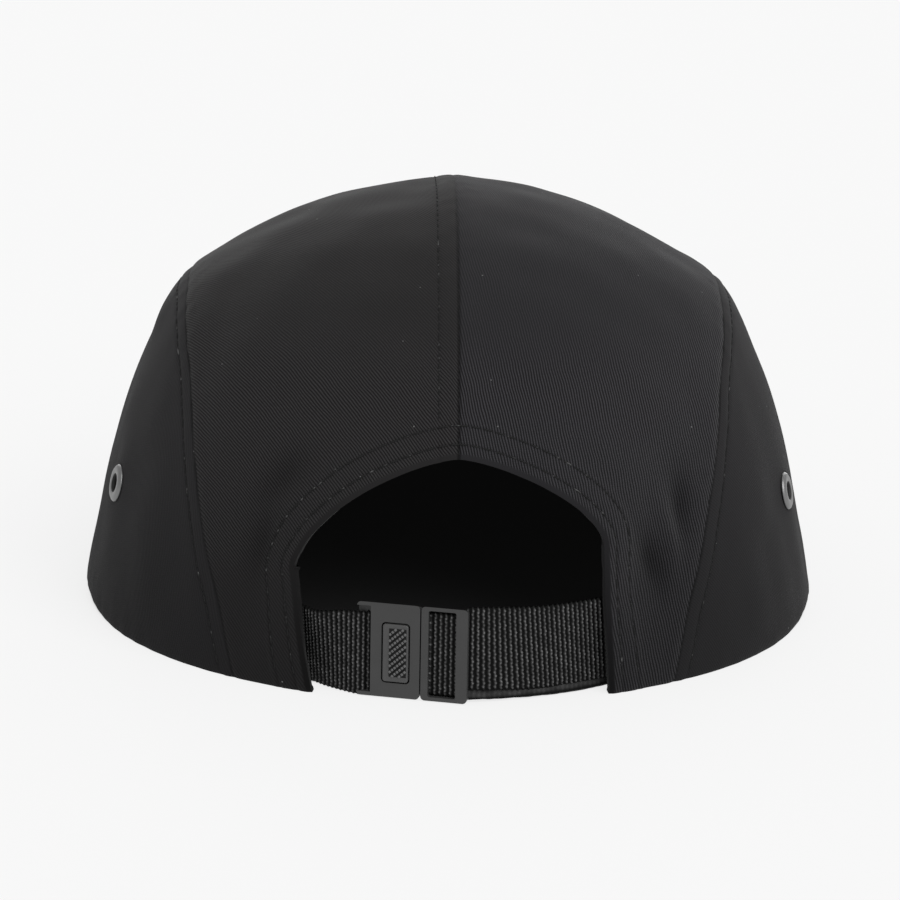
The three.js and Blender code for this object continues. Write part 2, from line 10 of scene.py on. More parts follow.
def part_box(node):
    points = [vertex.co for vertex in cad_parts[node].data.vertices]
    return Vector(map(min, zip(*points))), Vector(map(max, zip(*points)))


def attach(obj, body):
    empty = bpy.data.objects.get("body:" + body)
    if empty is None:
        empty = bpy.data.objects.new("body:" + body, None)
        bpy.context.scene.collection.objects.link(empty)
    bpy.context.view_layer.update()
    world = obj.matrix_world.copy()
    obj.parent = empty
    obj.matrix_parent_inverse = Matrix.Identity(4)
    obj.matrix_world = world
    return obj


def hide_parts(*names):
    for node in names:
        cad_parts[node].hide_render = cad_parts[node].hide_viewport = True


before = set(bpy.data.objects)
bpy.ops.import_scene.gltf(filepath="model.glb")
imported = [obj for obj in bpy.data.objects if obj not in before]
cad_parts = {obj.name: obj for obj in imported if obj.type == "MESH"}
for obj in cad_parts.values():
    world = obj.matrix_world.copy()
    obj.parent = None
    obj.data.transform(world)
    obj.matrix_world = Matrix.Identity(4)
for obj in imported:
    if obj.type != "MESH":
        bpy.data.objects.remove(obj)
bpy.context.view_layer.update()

# Five panel cap in black twill. Lengths are in millimetres in the crown's own frame, whose origin is
# the middle of the rim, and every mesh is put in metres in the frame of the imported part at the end.

CLOTH_WALL = 1.5
FIT_GAP = 0.3
CROWN_HALF_WIDTH = 91.3
CROWN_BACK_REACH = 96
CROWN_FRONT_REACH = 98
CROWN_HEIGHT = 102.6
EAR_LIFT = 1.8
EAR_SPREAD = 0.5
PEAK_LIFT = 16
RIDGE_RISE = 0.9
RIDGE_SPREAD = 0.06
CREST_RISE = 1.0
CREST_SPREAD = 0.08
DENT_DEPTH = 3.2

OPENING_APEX_HEIGHT = 54.7
ARCH_POWER = 1.5
OPENING_CORNER_SHARE = 18 / 28
FRONT_CORNER_SHARE = 7 / 28

PEAK_REACH = 68
PEAK_THICKNESS = 3
PEAK_HALF_WIDTH = 78.5
PEAK_CORNER_BACK = 55
PEAK_SEAM_ALLOWANCE = 4
PEAK_OUTLINE_POWER = 2.3

EYELET_HEIGHT = 33
EYELET_BACK = 26
EYELET_HOLE_RADIUS = 2.7
EYELET_BORE_RADIUS = 2.22

STRAP_WIDTH = 20
STRAP_THICKNESS = 1.4
STRAP_FLOOR_GAP = 2.65
STRAP_SEAT_GAP = 0.8
STRAP_BOW = 4.5
STRAP_END_REACH = 50
STRAP_LEFT_TUCK = 4.2
STRAP_LEFT_SLANT = 1.9
STRAP_LEFT_DROP = 1.4
STRAP_LEFT_DRAWN = 0.055
STRAP_LEFT_BULGE = 1.6
STRAP_LEFT_FREE_REACH = 38
STRAP_RIGHT_SAG = 0.8
STRAP_DIP = 1.1
STRAP_DIP_REACH = 24
STRAP_RIGHT_SLANT = 1.7
STRAP_RIGHT_SLANT_REACH = 20
SLOT_REACH = 2
SLOT_DROP = 1.7
SLOT_PROUD = 0.7
TAIL_END_REACH = 44
TAIL_DROP = 1.87
TAIL_LAYER_GAP = 0.2
TAIL_CURL = 1.6
TAIL_CURL_GAIN = 1.4

BUCKLE_HEIGHT = 22.6
BUCKLE_LEFT_REACH = 22.6
BUCKLE_RIGHT_REACH = -2.8
BAR_THICKNESS = 1.4
PLATE_LENGTH = 15
PLATE_BAR = 3.3
PARTING_GAP = 0.3
WINDOW_LENGTH = 6.8
WINDOW_HEIGHT = 14.6
WINDOW_FROM_LEFT = 5.9
WINDOW_FLOOR = 3.5
FRAME_LEFT_BAR = 1.7

# Share of the crown's height, then how wide it is and how deep at the back and at the front
CROWN_PROFILE = [
    (0.0, 1.0, 1.0, 1.0),
    (0.2, 0.979, 1.0, 1.02),
    (0.4, 0.996, 1.01, 1.06),
    (0.6, 1.046, 1.03, 1.1),
    (0.75, 1.117, 1.05, 1.12),
    (0.88, 1.102, 1.06, 1.1),
    (1.0, 1.0, 1.06, 1.06),
]
WIDE, DEEP_BACK, DEEP_FRONT = 1, 2, 3

# Turn about the X axis in degrees from the back of the rim, and how far out the side seam lies there
SIDE_SEAM = [
    (0, 0.57),
    (10, 0.62),
    (20, 0.658),
    (32, 0.674),
    (45, 0.67),
    (58, 0.655),
    (75, 0.64),
    (100, 0.635),
    (128, 0.6),
]
TOP_TURN = 128
TOP_CORNER_ACROSS = 0.6
FRONT_FOOT_ACROSS = 0.84
SHOULDER_TURN = 62

# Place across, turn, spread in degrees and share of the depth
DENTS = [(-0.57, 29, 9, 0.8), (-0.53, 15, 8, 1.0), (0.45, 30, 10, 0.9), (0.5, 17, 8, 1.0)]

# Soft folds in the cloth beside the opening: place across and height, lean in degrees from upright,
# half length, half width, and depth
FOLDS = [
    (-53.5, 39, 12, 8, 2.8, 1.6),
    (-46.2, 28, 18, 7, 2.8, 1.8),
    (-49.9, 34, 16, 9, 2.2, -0.9),
    (40.5, 47, -42, 8, 3.4, 1.2),
    (46, 31, -16, 8, 3.4, 1.2),
]

# Sign along X, how far the opening's corner reaches and how high, and where its foot is
OPENINGS = {"left": (1, 39.4, 28.3, 33.4), "right": (-1, 34.5, 34.7, 36.0)}

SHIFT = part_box("peak")[0].y * 1000 + CROWN_FRONT_REACH + PEAK_REACH


def to_frame(points):
    """Points in millimetres in the crown's frame, as metres in the part's frame."""
    return (np.asarray(points) + (0, SHIFT, 0)) / 1000


def new_piece(name, bm):
    """A smooth object made of a finished bmesh."""
    mesh = bpy.data.meshes.new(name)
    bm.to_mesh(mesh)
    bm.free()
    mesh.shade_smooth()
    piece = bpy.data.objects.new(name, mesh)
    bpy.context.scene.collection.objects.link(piece)
    return piece


# Camera at the height and turn that the photo shows, aimed a little below the middle of the cap

def set_camera():
    elevation, azimuth, roll = (math.radians(a) for a in (14, 1.4, 1.04))
    focal, picture, sensor = 3990, 900, 36
    target, distance = Vector((0, 0, 50)), 1000
    back = Vector((math.sin(azimuth) * math.cos(elevation), math.cos(azimuth) * math.cos(elevation),
                   math.sin(elevation)))
    level = Vector((-math.cos(azimuth), math.sin(azimuth), 0))
    rise = back.cross(level)
    right = level * math.cos(roll) + rise * math.sin(roll)
    up = rise * math.cos(roll) - level * math.sin(roll)
    target_column, target_row = 451.35, 392.21
    forward = -back + right * ((picture / 2 - target_column) / focal)
    forward -= up * ((picture / 2 - target_row) / focal)
    forward.normalize()
    right = (right - forward * right.dot(forward)).normalized()
    up = right.cross(forward)
    data = bpy.data.cameras.new("camera")
    data.lens = focal / picture * sensor
    data.sensor_width = sensor
    data.clip_end = 50
    camera = bpy.data.objects.new("camera", data)
    turn = Matrix((right, up, -forward)).transposed().to_4x4()
    place = Vector(to_frame(target + back * distance))
    camera.matrix_world = Matrix.Translation(place) @ turn
    bpy.context.scene.collection.objects.link(camera)
    bpy.context.scene.camera = camera


set_camera()


# The crown's surface

def smooth_table(table, column, at):
    places = np.array([row[0] for row in table], float)
    values = np.array([row[column] for row in table], float)
    last = len(places) - 1
    before = np.maximum(np.arange(last + 1) - 1, 0)
    after = np.minimum(np.arange(last + 1) + 1, last)
    slopes = (values[after] - values[before]) / (places[after] - places[before])
    at = np.asarray(at, float)
    row = np.clip(np.searchsorted(places, at) - 1, 0, last - 1)
    span = places[row + 1] - places[row]
    t = (at - places[row]) / span
    rise = t * t * (3 - 2 * t)
    pull = t * (1 - t) ** 2 * span * slopes[row] + t * t * (t - 1) * span * slopes[row + 1]
    return values[row] + (values[row + 1] - values[row]) * rise + pull


def unit(vectors):
    return vectors / np.linalg.norm(vectors, axis=-1, keepdims=True)


def smoothstep(x, low, high):
    t = np.clip((np.asarray(x, float) - low) / (high - low), 0, 1)
    return t * t * (3 - 2 * t)


def lerp(a, b, t):
    return a + (b - a) * t


def bell(x, spread):
    return np.exp(-((x / spread) ** 2))


def direction(across, turn):
    across, angle = np.broadcast_arrays(np.asarray(across, float), np.radians(turn))
    rest = np.sqrt(1 - across * across)
    return np.stack([across, rest * np.cos(angle), rest * np.sin(angle)], -1)


def back_direction(x, z):
    up = np.asarray(z, float) / CROWN_HEIGHT
    across = np.asarray(x, float) / (CROWN_HALF_WIDTH * smooth_table(CROWN_PROFILE, WIDE, up))
    return np.stack(np.broadcast_arrays(across, np.sqrt(1 - across * across - up * up), up), -1)


def relief(u):
    turn = np.degrees(np.arctan2(u[..., 2], u[..., 1]))
    on_top = u[..., 2] ** 2
    seam = smooth_table(SIDE_SEAM, 1, np.clip(turn, 0, TOP_TURN))
    rise = RIDGE_RISE * on_top * bell(u[..., 0], RIDGE_SPREAD)
    rise += CREST_RISE * on_top * bell(np.abs(u[..., 0]) - seam, CREST_SPREAD)
    for across, dent_turn, spread, depth in DENTS:
        away = np.degrees(np.arccos(np.clip(u @ direction(across, dent_turn), -1, 1)))
        rise -= DENT_DEPTH * depth * bell(away, spread)
    return rise


def rim_lift(u):
    front = np.where(u[..., 1] < 0, PEAK_LIFT * u[..., 1] ** 2, 0)
    return front + EAR_LIFT * np.maximum(0, 1 - (u[..., 1] / EAR_SPREAD) ** 2) ** 2


def crown(u):
    behind = u[..., 1] > 0
    up = u[..., 2]
    deep = np.where(behind, CROWN_BACK_REACH * smooth_table(CROWN_PROFILE, DEEP_BACK, up),
                    CROWN_FRONT_REACH * smooth_table(CROWN_PROFILE, DEEP_FRONT, up))
    wide = CROWN_HALF_WIDTH * smooth_table(CROWN_PROFILE, WIDE, up)
    height = CROWN_HEIGHT * up + rim_lift(u) * (1 - up) ** 2
    points = np.stack([wide * u[..., 0], deep * u[..., 1], height], -1)
    return points + u * relief(u)[..., None]


def crown_normal(u):
    step = 0.01
    turned = np.stack([-u[..., 1], u[..., 0], np.full(u.shape[:-1], 0.3)], -1)
    first = unit(np.cross(turned, u))
    second = np.cross(u, first)
    along = [crown(unit(u + t * step)) - crown(unit(u - t * step)) for t in (first, second)]
    normal = unit(np.cross(*along))
    level = normal * (1, 1, 0)
    return np.where(u[..., 2:] < 1e-6, unit(level), normal)


# Edges of the panels, each a function of a share along it, as unit directions

def seam_point(sign, turn):
    return direction(sign * smooth_table(SIDE_SEAM, 1, turn), turn)


def rim_point(sign, bearing):
    angle = np.radians(bearing)
    return np.stack([sign * np.sin(angle), np.cos(angle), np.zeros_like(angle)], -1)


def bearing_of(u):
    return float(np.degrees(np.arctan2(abs(u[0]), u[1])))


def opening_edge(side, share):
    sign, corner_reach, corner_height, foot_reach = OPENINGS[side]
    share = np.asarray(share, float)
    angle = np.clip(share / OPENING_CORNER_SHARE, 0, 1) * math.pi / 2
    across = np.sin(angle) ** (2 / ARCH_POWER) * corner_reach
    up = np.maximum(np.cos(angle), 0) ** (2 / ARCH_POWER) * (OPENING_APEX_HEIGHT - corner_height)
    down = np.clip((share - OPENING_CORNER_SHARE) / (1 - OPENING_CORNER_SHARE), 0, 1)
    x = np.where(down > 0, lerp(corner_reach, foot_reach, down), across)
    z = np.where(down > 0, corner_height * (1 - down), corner_height + up)
    return back_direction(sign * x, z)


def back_edges(side):
    sign = OPENINGS[side][0]

    def near(t):
        return opening_edge(side, t)

    def far(t):
        t = np.asarray(t, float)
        top = direction(sign * TOP_CORNER_ACROSS * np.clip(t / FRONT_CORNER_SHARE, 0, 1), TOP_TURN)
        turn = TOP_TURN * (1 - np.clip((t - FRONT_CORNER_SHARE) / (1 - FRONT_CORNER_SHARE), 0, 1))
        return np.where((t <= FRONT_CORNER_SHARE)[..., None], top, seam_point(sign, turn))

    apex = near(0)
    apex_turn = math.degrees(math.atan2(apex[2], apex[1]))
    foot, seam = bearing_of(near(1)), bearing_of(far(1))
    return (near, far, lambda t: direction(0, lerp(apex_turn, TOP_TURN, t)),
            lambda t: rim_point(sign, lerp(foot, seam, np.asarray(t, float))))


def front_seam(sign, share):
    foot = np.array([FRONT_FOOT_ACROSS, -math.sqrt(1 - FRONT_FOOT_ACROSS ** 2), 0])
    corner = direction(TOP_CORNER_ACROSS, TOP_TURN)
    share = np.asarray(share, float)[..., None]
    return unit(lerp(foot, corner, share) * (sign, 1, 1))


def side_edges(side):
    sign = OPENINGS[side][0]
    first, last = bearing_of(seam_point(sign, 0)), bearing_of(front_seam(sign, 0))
    corner = front_seam(sign, 1)

    def far(t):
        t = np.asarray(t, float)
        along = seam_point(sign, lerp(SHOULDER_TURN, TOP_TURN, t))
        return unit(lerp(along, corner, (t ** 4)[..., None]))

    return (lambda t: rim_point(sign, lerp(first, last, np.asarray(t, float))), far,
            lambda t: seam_point(sign, SHOULDER_TURN * np.asarray(t, float)), lambda t: front_seam(sign, t))


def front_edges():
    lowest = bearing_of(front_seam(1, 0))

    def near(t):
        angle = np.radians(lerp(lowest - 180, 180 - lowest, np.asarray(t, float)))
        return np.stack([np.sin(angle), -np.cos(angle), np.zeros_like(angle)], -1)

    return (near, lambda t: direction((2 * np.asarray(t, float) - 1) * TOP_CORNER_ACROSS, TOP_TURN),
            lambda t: front_seam(-1, t), lambda t: front_seam(1, t))


def between(edges, u, v):
    """Unit directions inside four edges that meet at their ends, at shares u and v."""
    near, far, start, end = edges
    u3, v3 = u[:, None], v[:, None]
    point = near(u) * (1 - v3) + far(u) * v3 + start(v) * (1 - u3) + end(v) * u3
    for corner, weight in ((near(0), (1 - u3) * (1 - v3)), (near(1), u3 * (1 - v3)),
                           (far(0), (1 - u3) * v3), (far(1), u3 * v3)):
        point = point - corner * weight
    point[np.abs(point[:, 2]) < 1e-9, 2] = 0
    return unit(point)


# Cloth

NEAR, FAR, START, END = range(4)
ALL = slice(None)
EDGE_ROWS = [((ALL, 0), (ALL, 1)), ((ALL, -1), (ALL, -2)), (0, 1), (-1, -2)]
SEAM, HEM, RIM = "seam", "hem", "rim"
PUCKER = {SEAM: 0.1, HEM: 0.2, RIM: 0.1}
PUCKER_SPREAD = 5.5
WELT_RISE, WELT_AWAY, WELT_SPREAD = 0.1, 2.2, 1.4
GROOVE_DEPTH, GROOVE_SPREAD = 0.22, 0.9
ROLL_DEPTH, ROLL_SPREAD = 0.45, 0.7
HEM_RISE, HEM_FOLD_START, HEM_FOLD_END = 0.3, 8.2, 10
ROW_DEPTH, ROW_SPREAD = 0.28, 0.6
SEAM_OVERLAP, SEAM_TUCK = 0.45, 0.15

# Distances of the stitch rows from the opening's hem, from the centre seam and from the side seams
HEM_ROWS = (3.5, 8.0)
CENTRE_ROW = 4.7
SEAM_ROW = 3.6
PEAK_ROWS_AWAY = (4, 10, 16, 22, 28, 34)


def ripple(points, scale, seed):
    """Smooth noise at each point, about -1 to 1."""
    place = points * scale + seed * 17.31
    cell = np.floor(place)
    part = place - cell
    part = part * part * (3 - 2 * part)
    total = np.zeros(len(points))
    for corner in np.ndindex(2, 2, 2):
        spot = cell + corner
        value = np.modf(np.sin(spot @ (127.1, 311.7, 74.7)) * 43758.5453)[0]
        total += value * np.prod(np.where(corner, part, 1 - part), axis=1)
    return total


def distance_to(points, line):
    """Distance from each point to the nearest of the points of a line."""
    tree = KDTree(len(line))
    for number, place in enumerate(line):
        tree.insert(place, number)
    tree.balance()
    return np.array([tree.find(place)[2] for place in points])


def edge_fall(kind, distance, up):
    """How the cloth stands near an edge: it turns in at a seam, rolls at a hem and at the rim."""
    if kind == SEAM:
        welt = WELT_RISE * bell(distance - WELT_AWAY, WELT_SPREAD)
        return (welt - GROOVE_DEPTH * bell(distance, GROOVE_SPREAD)) * (1 - 0.6 * up ** 2)
    fold = HEM_RISE * (1 - smoothstep(distance, HEM_FOLD_START, HEM_FOLD_END)) if kind == HEM else 0
    return fold - ROLL_DEPTH * bell(distance, ROLL_SPREAD)


def folds(points):
    """How far soft folds sink the cloth at points at the back."""
    sunk = np.zeros(len(points))
    for x, z, lean, long, wide, depth in FOLDS:
        turn = math.radians(lean)
        off_x, off_z = points[:, 0] - x, points[:, 2] - z
        along = off_z * math.cos(turn) + off_x * math.sin(turn)
        aside = off_x * math.cos(turn) - off_z * math.sin(turn)
        sunk += depth * np.exp(-((along / long) ** 2) - (aside / wide) ** 2)
    return np.where(points[:, 1] > 0, sunk, 0)


def contour(points, normals, far_off, others, which, away):
    """Points and normals of a stitch row at a distance from one edge of a grid, clear of other edges."""
    grids = [points, normals, far_off] + [x for x, gap in others]
    if which in (START, END):
        grids = [np.swapaxes(x, 0, 1) for x in grids]
    if which in (FAR, END):
        grids = [x[:, ::-1] for x in grids]
    points, normals, far_off = grids[:3]
    line = []
    for i in range(points.shape[0]):
        beyond = np.nonzero(far_off[i] >= away)[0]
        if not len(beyond) or beyond[0] == 0:
            continue
        j = beyond[0]
        t = (away - far_off[i, j - 1]) / (far_off[i, j] - far_off[i, j - 1])
        if any(lerp(x[i, j - 1], x[i, j], t) < gap for x, (_, gap) in zip(grids[3:], others)):
            continue
        line.append((lerp(points[i, j - 1], points[i, j], t), lerp(normals[i, j - 1], normals[i, j], t)))
    return line


def grid_order(bm, columns, rows):
    """Shares along and across a grid of unit size, and the order of its vertices by column and row."""
    u = np.array([v.co.x for v in bm.verts]) + 0.5
    v = np.array([v.co.y for v in bm.verts]) + 0.5
    return u, v, np.round(u * columns).astype(int) * (rows + 1) + np.round(v * rows).astype(int)


def as_grid(values, order, columns, rows):
    grid = np.empty(np.shape(values))
    grid[order] = values
    return grid.reshape((columns + 1, rows + 1) + np.shape(values)[1:])


def place_vertices(bm, points, outward):
    """Puts the vertices at points in millimetres, and turns the faces to the outward directions."""
    for vertex, place in zip(bm.verts, to_frame(points)):
        vertex.co = place
    bm.normal_update()
    outward = np.broadcast_to(outward, np.shape(points))
    if sum(f.normal.dot(Vector(outward[f.verts[0].index])) for f in bm.faces) < 0:
        bmesh.ops.reverse_faces(bm, faces=bm.faces[:])


def lay_flat(bm, flat):
    """Writes the flat coordinates of the cloth, in millimetres, as the map that the weave follows."""
    layer = bm.loops.layers.uv.new("cloth")
    for face in bm.faces:
        for loop in face.loops:
            loop[layer].uv = flat[loop.vert.index]


def note_distances(bm, row_distance, seam_distance, sunk):
    """Puts on each vertex how far it is from the edge that the stitch rows follow and from a seam, and how
    deep it lies in a fold."""
    for name, values in (("row_distance", row_distance), ("seam_distance", seam_distance), ("sunk", sunk)):
        layer = bm.verts.layers.float.new(name)
        for vertex, value in zip(bm.verts, values):
            vertex[layer] = value


class Panel:
    """A grid on the crown between four edges, with the finished cloth's points, normals and distances."""

    def __init__(self, name, edges, columns, rows, kinds, stitched, seed):
        self.name, self.columns, self.rows, self.kinds = name, columns, rows, kinds
        self.bm = bmesh.new()
        bmesh.ops.create_grid(self.bm, x_segments=columns, y_segments=rows, size=0.5)
        u, v, self.order = grid_order(self.bm, columns, rows)
        self.direction = between(edges, u, v)
        base = crown(self.direction)
        normal = crown_normal(self.direction)
        share = np.linspace(0, 1, 700)
        self.distance = [distance_to(base, crown(edge(share))) for edge in edges]
        self.row_distance = self.nearest(stitched[0][0])
        lift = np.zeros(len(base))
        for which, kind in enumerate(kinds):
            away = self.distance[which]
            lift += edge_fall(kind, away, self.direction[:, 2])
            lift += PUCKER[kind] * bell(away, PUCKER_SPREAD) * ripple(base, 0.33, seed + which)
        for row_edges, away_wanted in stitched:
            away = self.nearest(row_edges) - away_wanted
            lift -= ROW_DEPTH * bell(away, ROW_SPREAD) * (0.75 + 0.5 * ripple(base, 0.5, seed + 7))
        edge_guard = smoothstep(np.min(self.distance, axis=0), 0, 12)
        lift += 0.9 * edge_guard * ripple(base, 0.035, seed + 11)
        lift += 0.35 * edge_guard * ripple(base, 0.09, seed + 13)
        self.sunk = smoothstep(np.min(self.distance, axis=0), 2, 9) * folds(base)
        lift -= self.sunk
        self.normal = normal
        self.points = base + normal * lift[:, None]
        self.overlap_seams()
        on_rim = self.direction[:, 2] < 1e-6
        self.points[on_rim, 2] = base[on_rim, 2]

    def as_grid(self, values):
        return as_grid(values, self.order, self.columns, self.rows)

    def nearest(self, edges):
        return np.min([self.distance[k] for k in edges], axis=0)

    def overlap_seams(self):
        """Carries the cloth a little past each seam and inwards, so that the panels close on each other."""
        grid, normals = self.as_grid(self.points), self.as_grid(self.normal)
        moved = grid.copy()
        for which, (edge, inner) in enumerate(EDGE_ROWS):
            if self.kinds[which] != SEAM:
                continue
            past = unit(np.cross(normals[edge], np.gradient(grid[edge], axis=0)))
            past *= np.sign(np.sum(past * (grid[edge] - grid[inner])))
            moved[edge] += SEAM_OVERLAP * past - SEAM_TUCK * normals[edge]
        self.points = moved.reshape(-1, 3)[self.order]

    def row_along(self, which, away, margins):
        """Stitch row at a distance from one edge, clear of the others by the margins."""
        points, normals, far_off = (self.as_grid(x) for x in (self.points, self.normal, self.distance[which]))
        others = [(self.as_grid(self.distance[k]), gap) for k, gap in margins.items()]
        return contour(points, normals, far_off, others, which, away)

    def finish(self, material, replaced, grain, hole=None):
        bm = self.bm
        place_vertices(bm, self.points, self.normal)
        seams = [self.distance[k] for k, kind in enumerate(self.kinds) if kind == SEAM]
        note_distances(bm, self.row_distance, np.min(seams, axis=0), np.maximum(self.sunk, 0))
        lay_flat(bm, grain(self.direction, self.points))
        if hole is not None:
            centre, radius = hole
            gone = [v for v in bm.verts if (v.co - centre).length < radius]
            bmesh.ops.delete(bm, geom=gone, context="VERTS")
        piece = new_piece(self.name, bm)
        solid = wall(piece, CLOTH_WALL, 0.32)
        solid.material_offset = 1
        dress(piece, [material, inner_twill_painted_shade], replaced)


def thicken(piece, thickness):
    solid = piece.modifiers.new("wall", "SOLIDIFY")
    solid.thickness = thickness / 1000
    solid.offset = -1
    return solid


def wall(piece, thickness, rounding):
    solid = thicken(piece, thickness)
    edge = piece.modifiers.new("rounded edge", "BEVEL")
    edge.width = rounding / 1000
    edge.segments = 3
    edge.limit_method = "ANGLE"
    edge.angle_limit = math.radians(50)
    return solid


def dress(piece, materials, replaced=()):
    for material in materials:
        piece.data.materials.append(material)
    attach(piece, "root")
    if replaced:
        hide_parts(*replaced)


# Materials

def node_group(name, inputs, outputs):
    group = bpy.data.node_groups.new(name, "ShaderNodeTree")
    for label, kind, default in inputs:
        socket = group.interface.new_socket(label, in_out="INPUT", socket_type=kind)
        if default is not None:
            socket.default_value = default
    for label, kind in outputs:
        group.interface.new_socket(label, in_out="OUTPUT", socket_type=kind)
    return group, group.nodes.new("NodeGroupInput"), group.nodes.new("NodeGroupOutput")


VECTOR, FLOAT = "NodeSocketVector", "NodeSocketFloat"


class Wiring:
    """Adds nodes to a tree. An input is given as a socket, or as a value."""

    def __init__(self, tree):
        self.tree = tree

    def node(self, kind, inputs=(), **settings):
        made = self.tree.nodes.new(kind)
        for key, value in settings.items():
            setattr(made, key, value)
        for key, value in dict(inputs).items():
            self.set(made.inputs[key], value)
        return made

    def set(self, socket, value):
        if isinstance(value, bpy.types.NodeSocket):
            self.tree.links.new(value, socket)
        else:
            socket.default_value = value

    def maths(self, operation, a, b=0.0, clamp=False):
        return self.node("ShaderNodeMath", {0: a, 1: b}, operation=operation, use_clamp=clamp).outputs[0]

    def blend(self, factor, a, b):
        made = self.node("ShaderNodeMix", {0: factor, 6: a, 7: b}, data_type="RGBA")
        return made.outputs[2]

    def noise(self, vector, scale, detail=2.0, roughness=0.5):
        made = self.node("ShaderNodeTexNoise", {"Vector": vector, "Scale": scale, "Detail": detail,
                                                "Roughness": roughness})
        return made.outputs["Fac"]

    def scaled(self, value, by, plus):
        return self.node("ShaderNodeMath", {0: value, 1: by, 2: plus}, operation="MULTIPLY_ADD").outputs[0]

    def wave(self, turns):
        """A sine that rises and falls between 0 and 1 once for each whole turn."""
        return self.scaled(self.maths("SINE", self.maths("MULTIPLY", turns, math.tau)), 0.5, 0.5)

    def ramp(self, value, low, high, start=0.0, end=1.0):
        """Goes softly from start to end while the value goes from low to high."""
        made = self.node("ShaderNodeMapRange", {"Value": value, "From Min": low, "From Max": high,
                                                "To Min": start, "To Max": end},
                         interpolation_type="SMOOTHSTEP")
        return made.outputs[0]

    def attribute(self, name):
        return self.node("ShaderNodeAttribute", attribute_name=name).outputs["Fac"]

    def bump(self, height, strength, depth):
        """Normal of a relief whose depth is in millimetres."""
        made = self.node("ShaderNodeBump", {"Strength": strength, "Distance": depth / 1000, "Height": height})
        return made.outputs[0]


YARN_PITCH, YARN_STEP = 0.42, 0.37
LINT_DENSITY, LINT_RADIUS = 0.15, 0.026
# How strongly painted shade darkens the stitch rows, the seams and the folds
ROW_SHADE, SEAM_SHADE, FOLD_SHADE = 0.22, 0.6, 0.24
PLAIN_RIB, PLAIN_HEIGHT = 0.31, 0.4

# Heights in metres between which the weave softens towards the top, and how far it does. The plain rib value
# is darker than the woven mean, so the top also comes out a little darker, as painted shade
SOFT_FROM, SOFT_TO, SOFT_SHARE = 0.067, 0.084, 0.65

# Height in metres below which painted shade darkens the cloth towards the rim, and how far it does
SHADE_FROM, RIM_SHADE = 0.06, 0.38


def twill_group():
    """Diagonal ribs of the weave from flat cloth coordinates in millimetres, with their yarns and fuzz."""
    group, given, out = node_group(
        "twill weave",
        [("Cloth", VECTOR, None), ("Lean", FLOAT, 0.0), ("Spacing", FLOAT, 0.63)],
        [("Rib", FLOAT), ("Height", FLOAT), ("Lint", FLOAT)])
    w = Wiring(group)
    cloth, lean, spacing = (given.outputs[k] for k in ("Cloth", "Lean", "Spacing"))
    wander = w.node("ShaderNodeTexNoise", {"Vector": cloth, "Scale": 0.12}).outputs["Color"]
    drift = w.node("ShaderNodeVectorMath", {0: wander, "Scale": 0.9}, operation="SCALE").outputs[0]
    bent = w.node("ShaderNodeVectorMath", {0: cloth, 1: drift}, operation="ADD").outputs[0]
    turned = w.node("ShaderNodeVectorRotate", {"Vector": bent, "Angle": lean}, rotation_type="Z_AXIS")
    split = w.node("ShaderNodeSeparateXYZ", {0: turned.outputs[0]})
    across, along = split.outputs[0], split.outputs[1]
    phase = w.maths("DIVIDE", across, spacing)
    stepped = w.maths("MULTIPLY", w.maths("FLOOR", phase), YARN_STEP)
    yarn = w.wave(w.maths("ADD", w.maths("DIVIDE", along, YARN_PITCH), stepped))
    slub = w.noise(cloth, 1.7, 3.0, 0.6)
    fuzz = w.noise(cloth, 6.0, 2.0, 0.7)
    shown = w.maths("MULTIPLY", w.wave(phase), w.scaled(yarn, 0.3, 0.7))
    shown = w.maths("MULTIPLY", shown, w.scaled(slub, 0.9, 0.55), clamp=True)
    w.set(out.inputs["Rib"], shown)
    w.set(out.inputs["Height"], w.scaled(fuzz, 0.35, shown))
    cells = w.node("ShaderNodeTexVoronoi", {"Vector": cloth, "Scale": LINT_DENSITY, "Randomness": 1.0})
    w.set(out.inputs["Lint"], w.maths("LESS_THAN", cells.outputs["Distance"], LINT_RADIUS))
    return group


def sewn_group():
    """Painted shade in the rows of stitches and in the seams, from the distances to them in millimetres."""
    group, given, out = node_group(
        "sewn lines",
        [("Away", FLOAT, 0.0), ("Seam", FLOAT, 9.0), ("First", FLOAT, SEAM_ROW), ("Spacing", FLOAT, 1.0),
         ("Last", FLOAT, 0.0), ("Rolled", FLOAT, -1.0)],
        [("Painted shade", FLOAT), ("Smooth", FLOAT)])
    w = Wiring(group)
    away, seam, first, spacing, last, rolled = (given.outputs[k] for k in range(6))
    beyond = w.maths("SUBTRACT", away, first)
    number = w.maths("FLOOR", w.maths("ADD", w.maths("DIVIDE", beyond, spacing), 0.5))
    number = w.maths("MINIMUM", w.maths("MAXIMUM", number, 0.0), last)
    off = w.maths("ABSOLUTE", w.maths("SUBTRACT", beyond, w.maths("MULTIPLY", number, spacing)))
    in_row = w.ramp(off, 0.1, 0.6, ROW_SHADE, 0.0)
    in_seam = w.ramp(seam, 0.1, 0.7, SEAM_SHADE, 0.0)
    w.set(out.inputs["Painted shade"], w.maths("MAXIMUM", in_row, in_seam))
    w.set(out.inputs["Smooth"], w.ramp(w.maths("SUBTRACT", away, rolled), -0.3, 0.4, 1.0, 0.0))
    return group


def rgb(value, tint=(1, 1, 1)):
    return tuple(value * t for t in tint) + (1.0,)


def new_material(name, values):
    """A material, its shader with plain values on its own sockets, and the wiring of its nodes."""
    material = bpy.data.materials.new(name)
    material.use_nodes = True
    shader = material.node_tree.nodes["Principled BSDF"]
    for label, value in values.items():
        shader.inputs[label].default_value = value
    return material, shader, Wiring(material.node_tree)


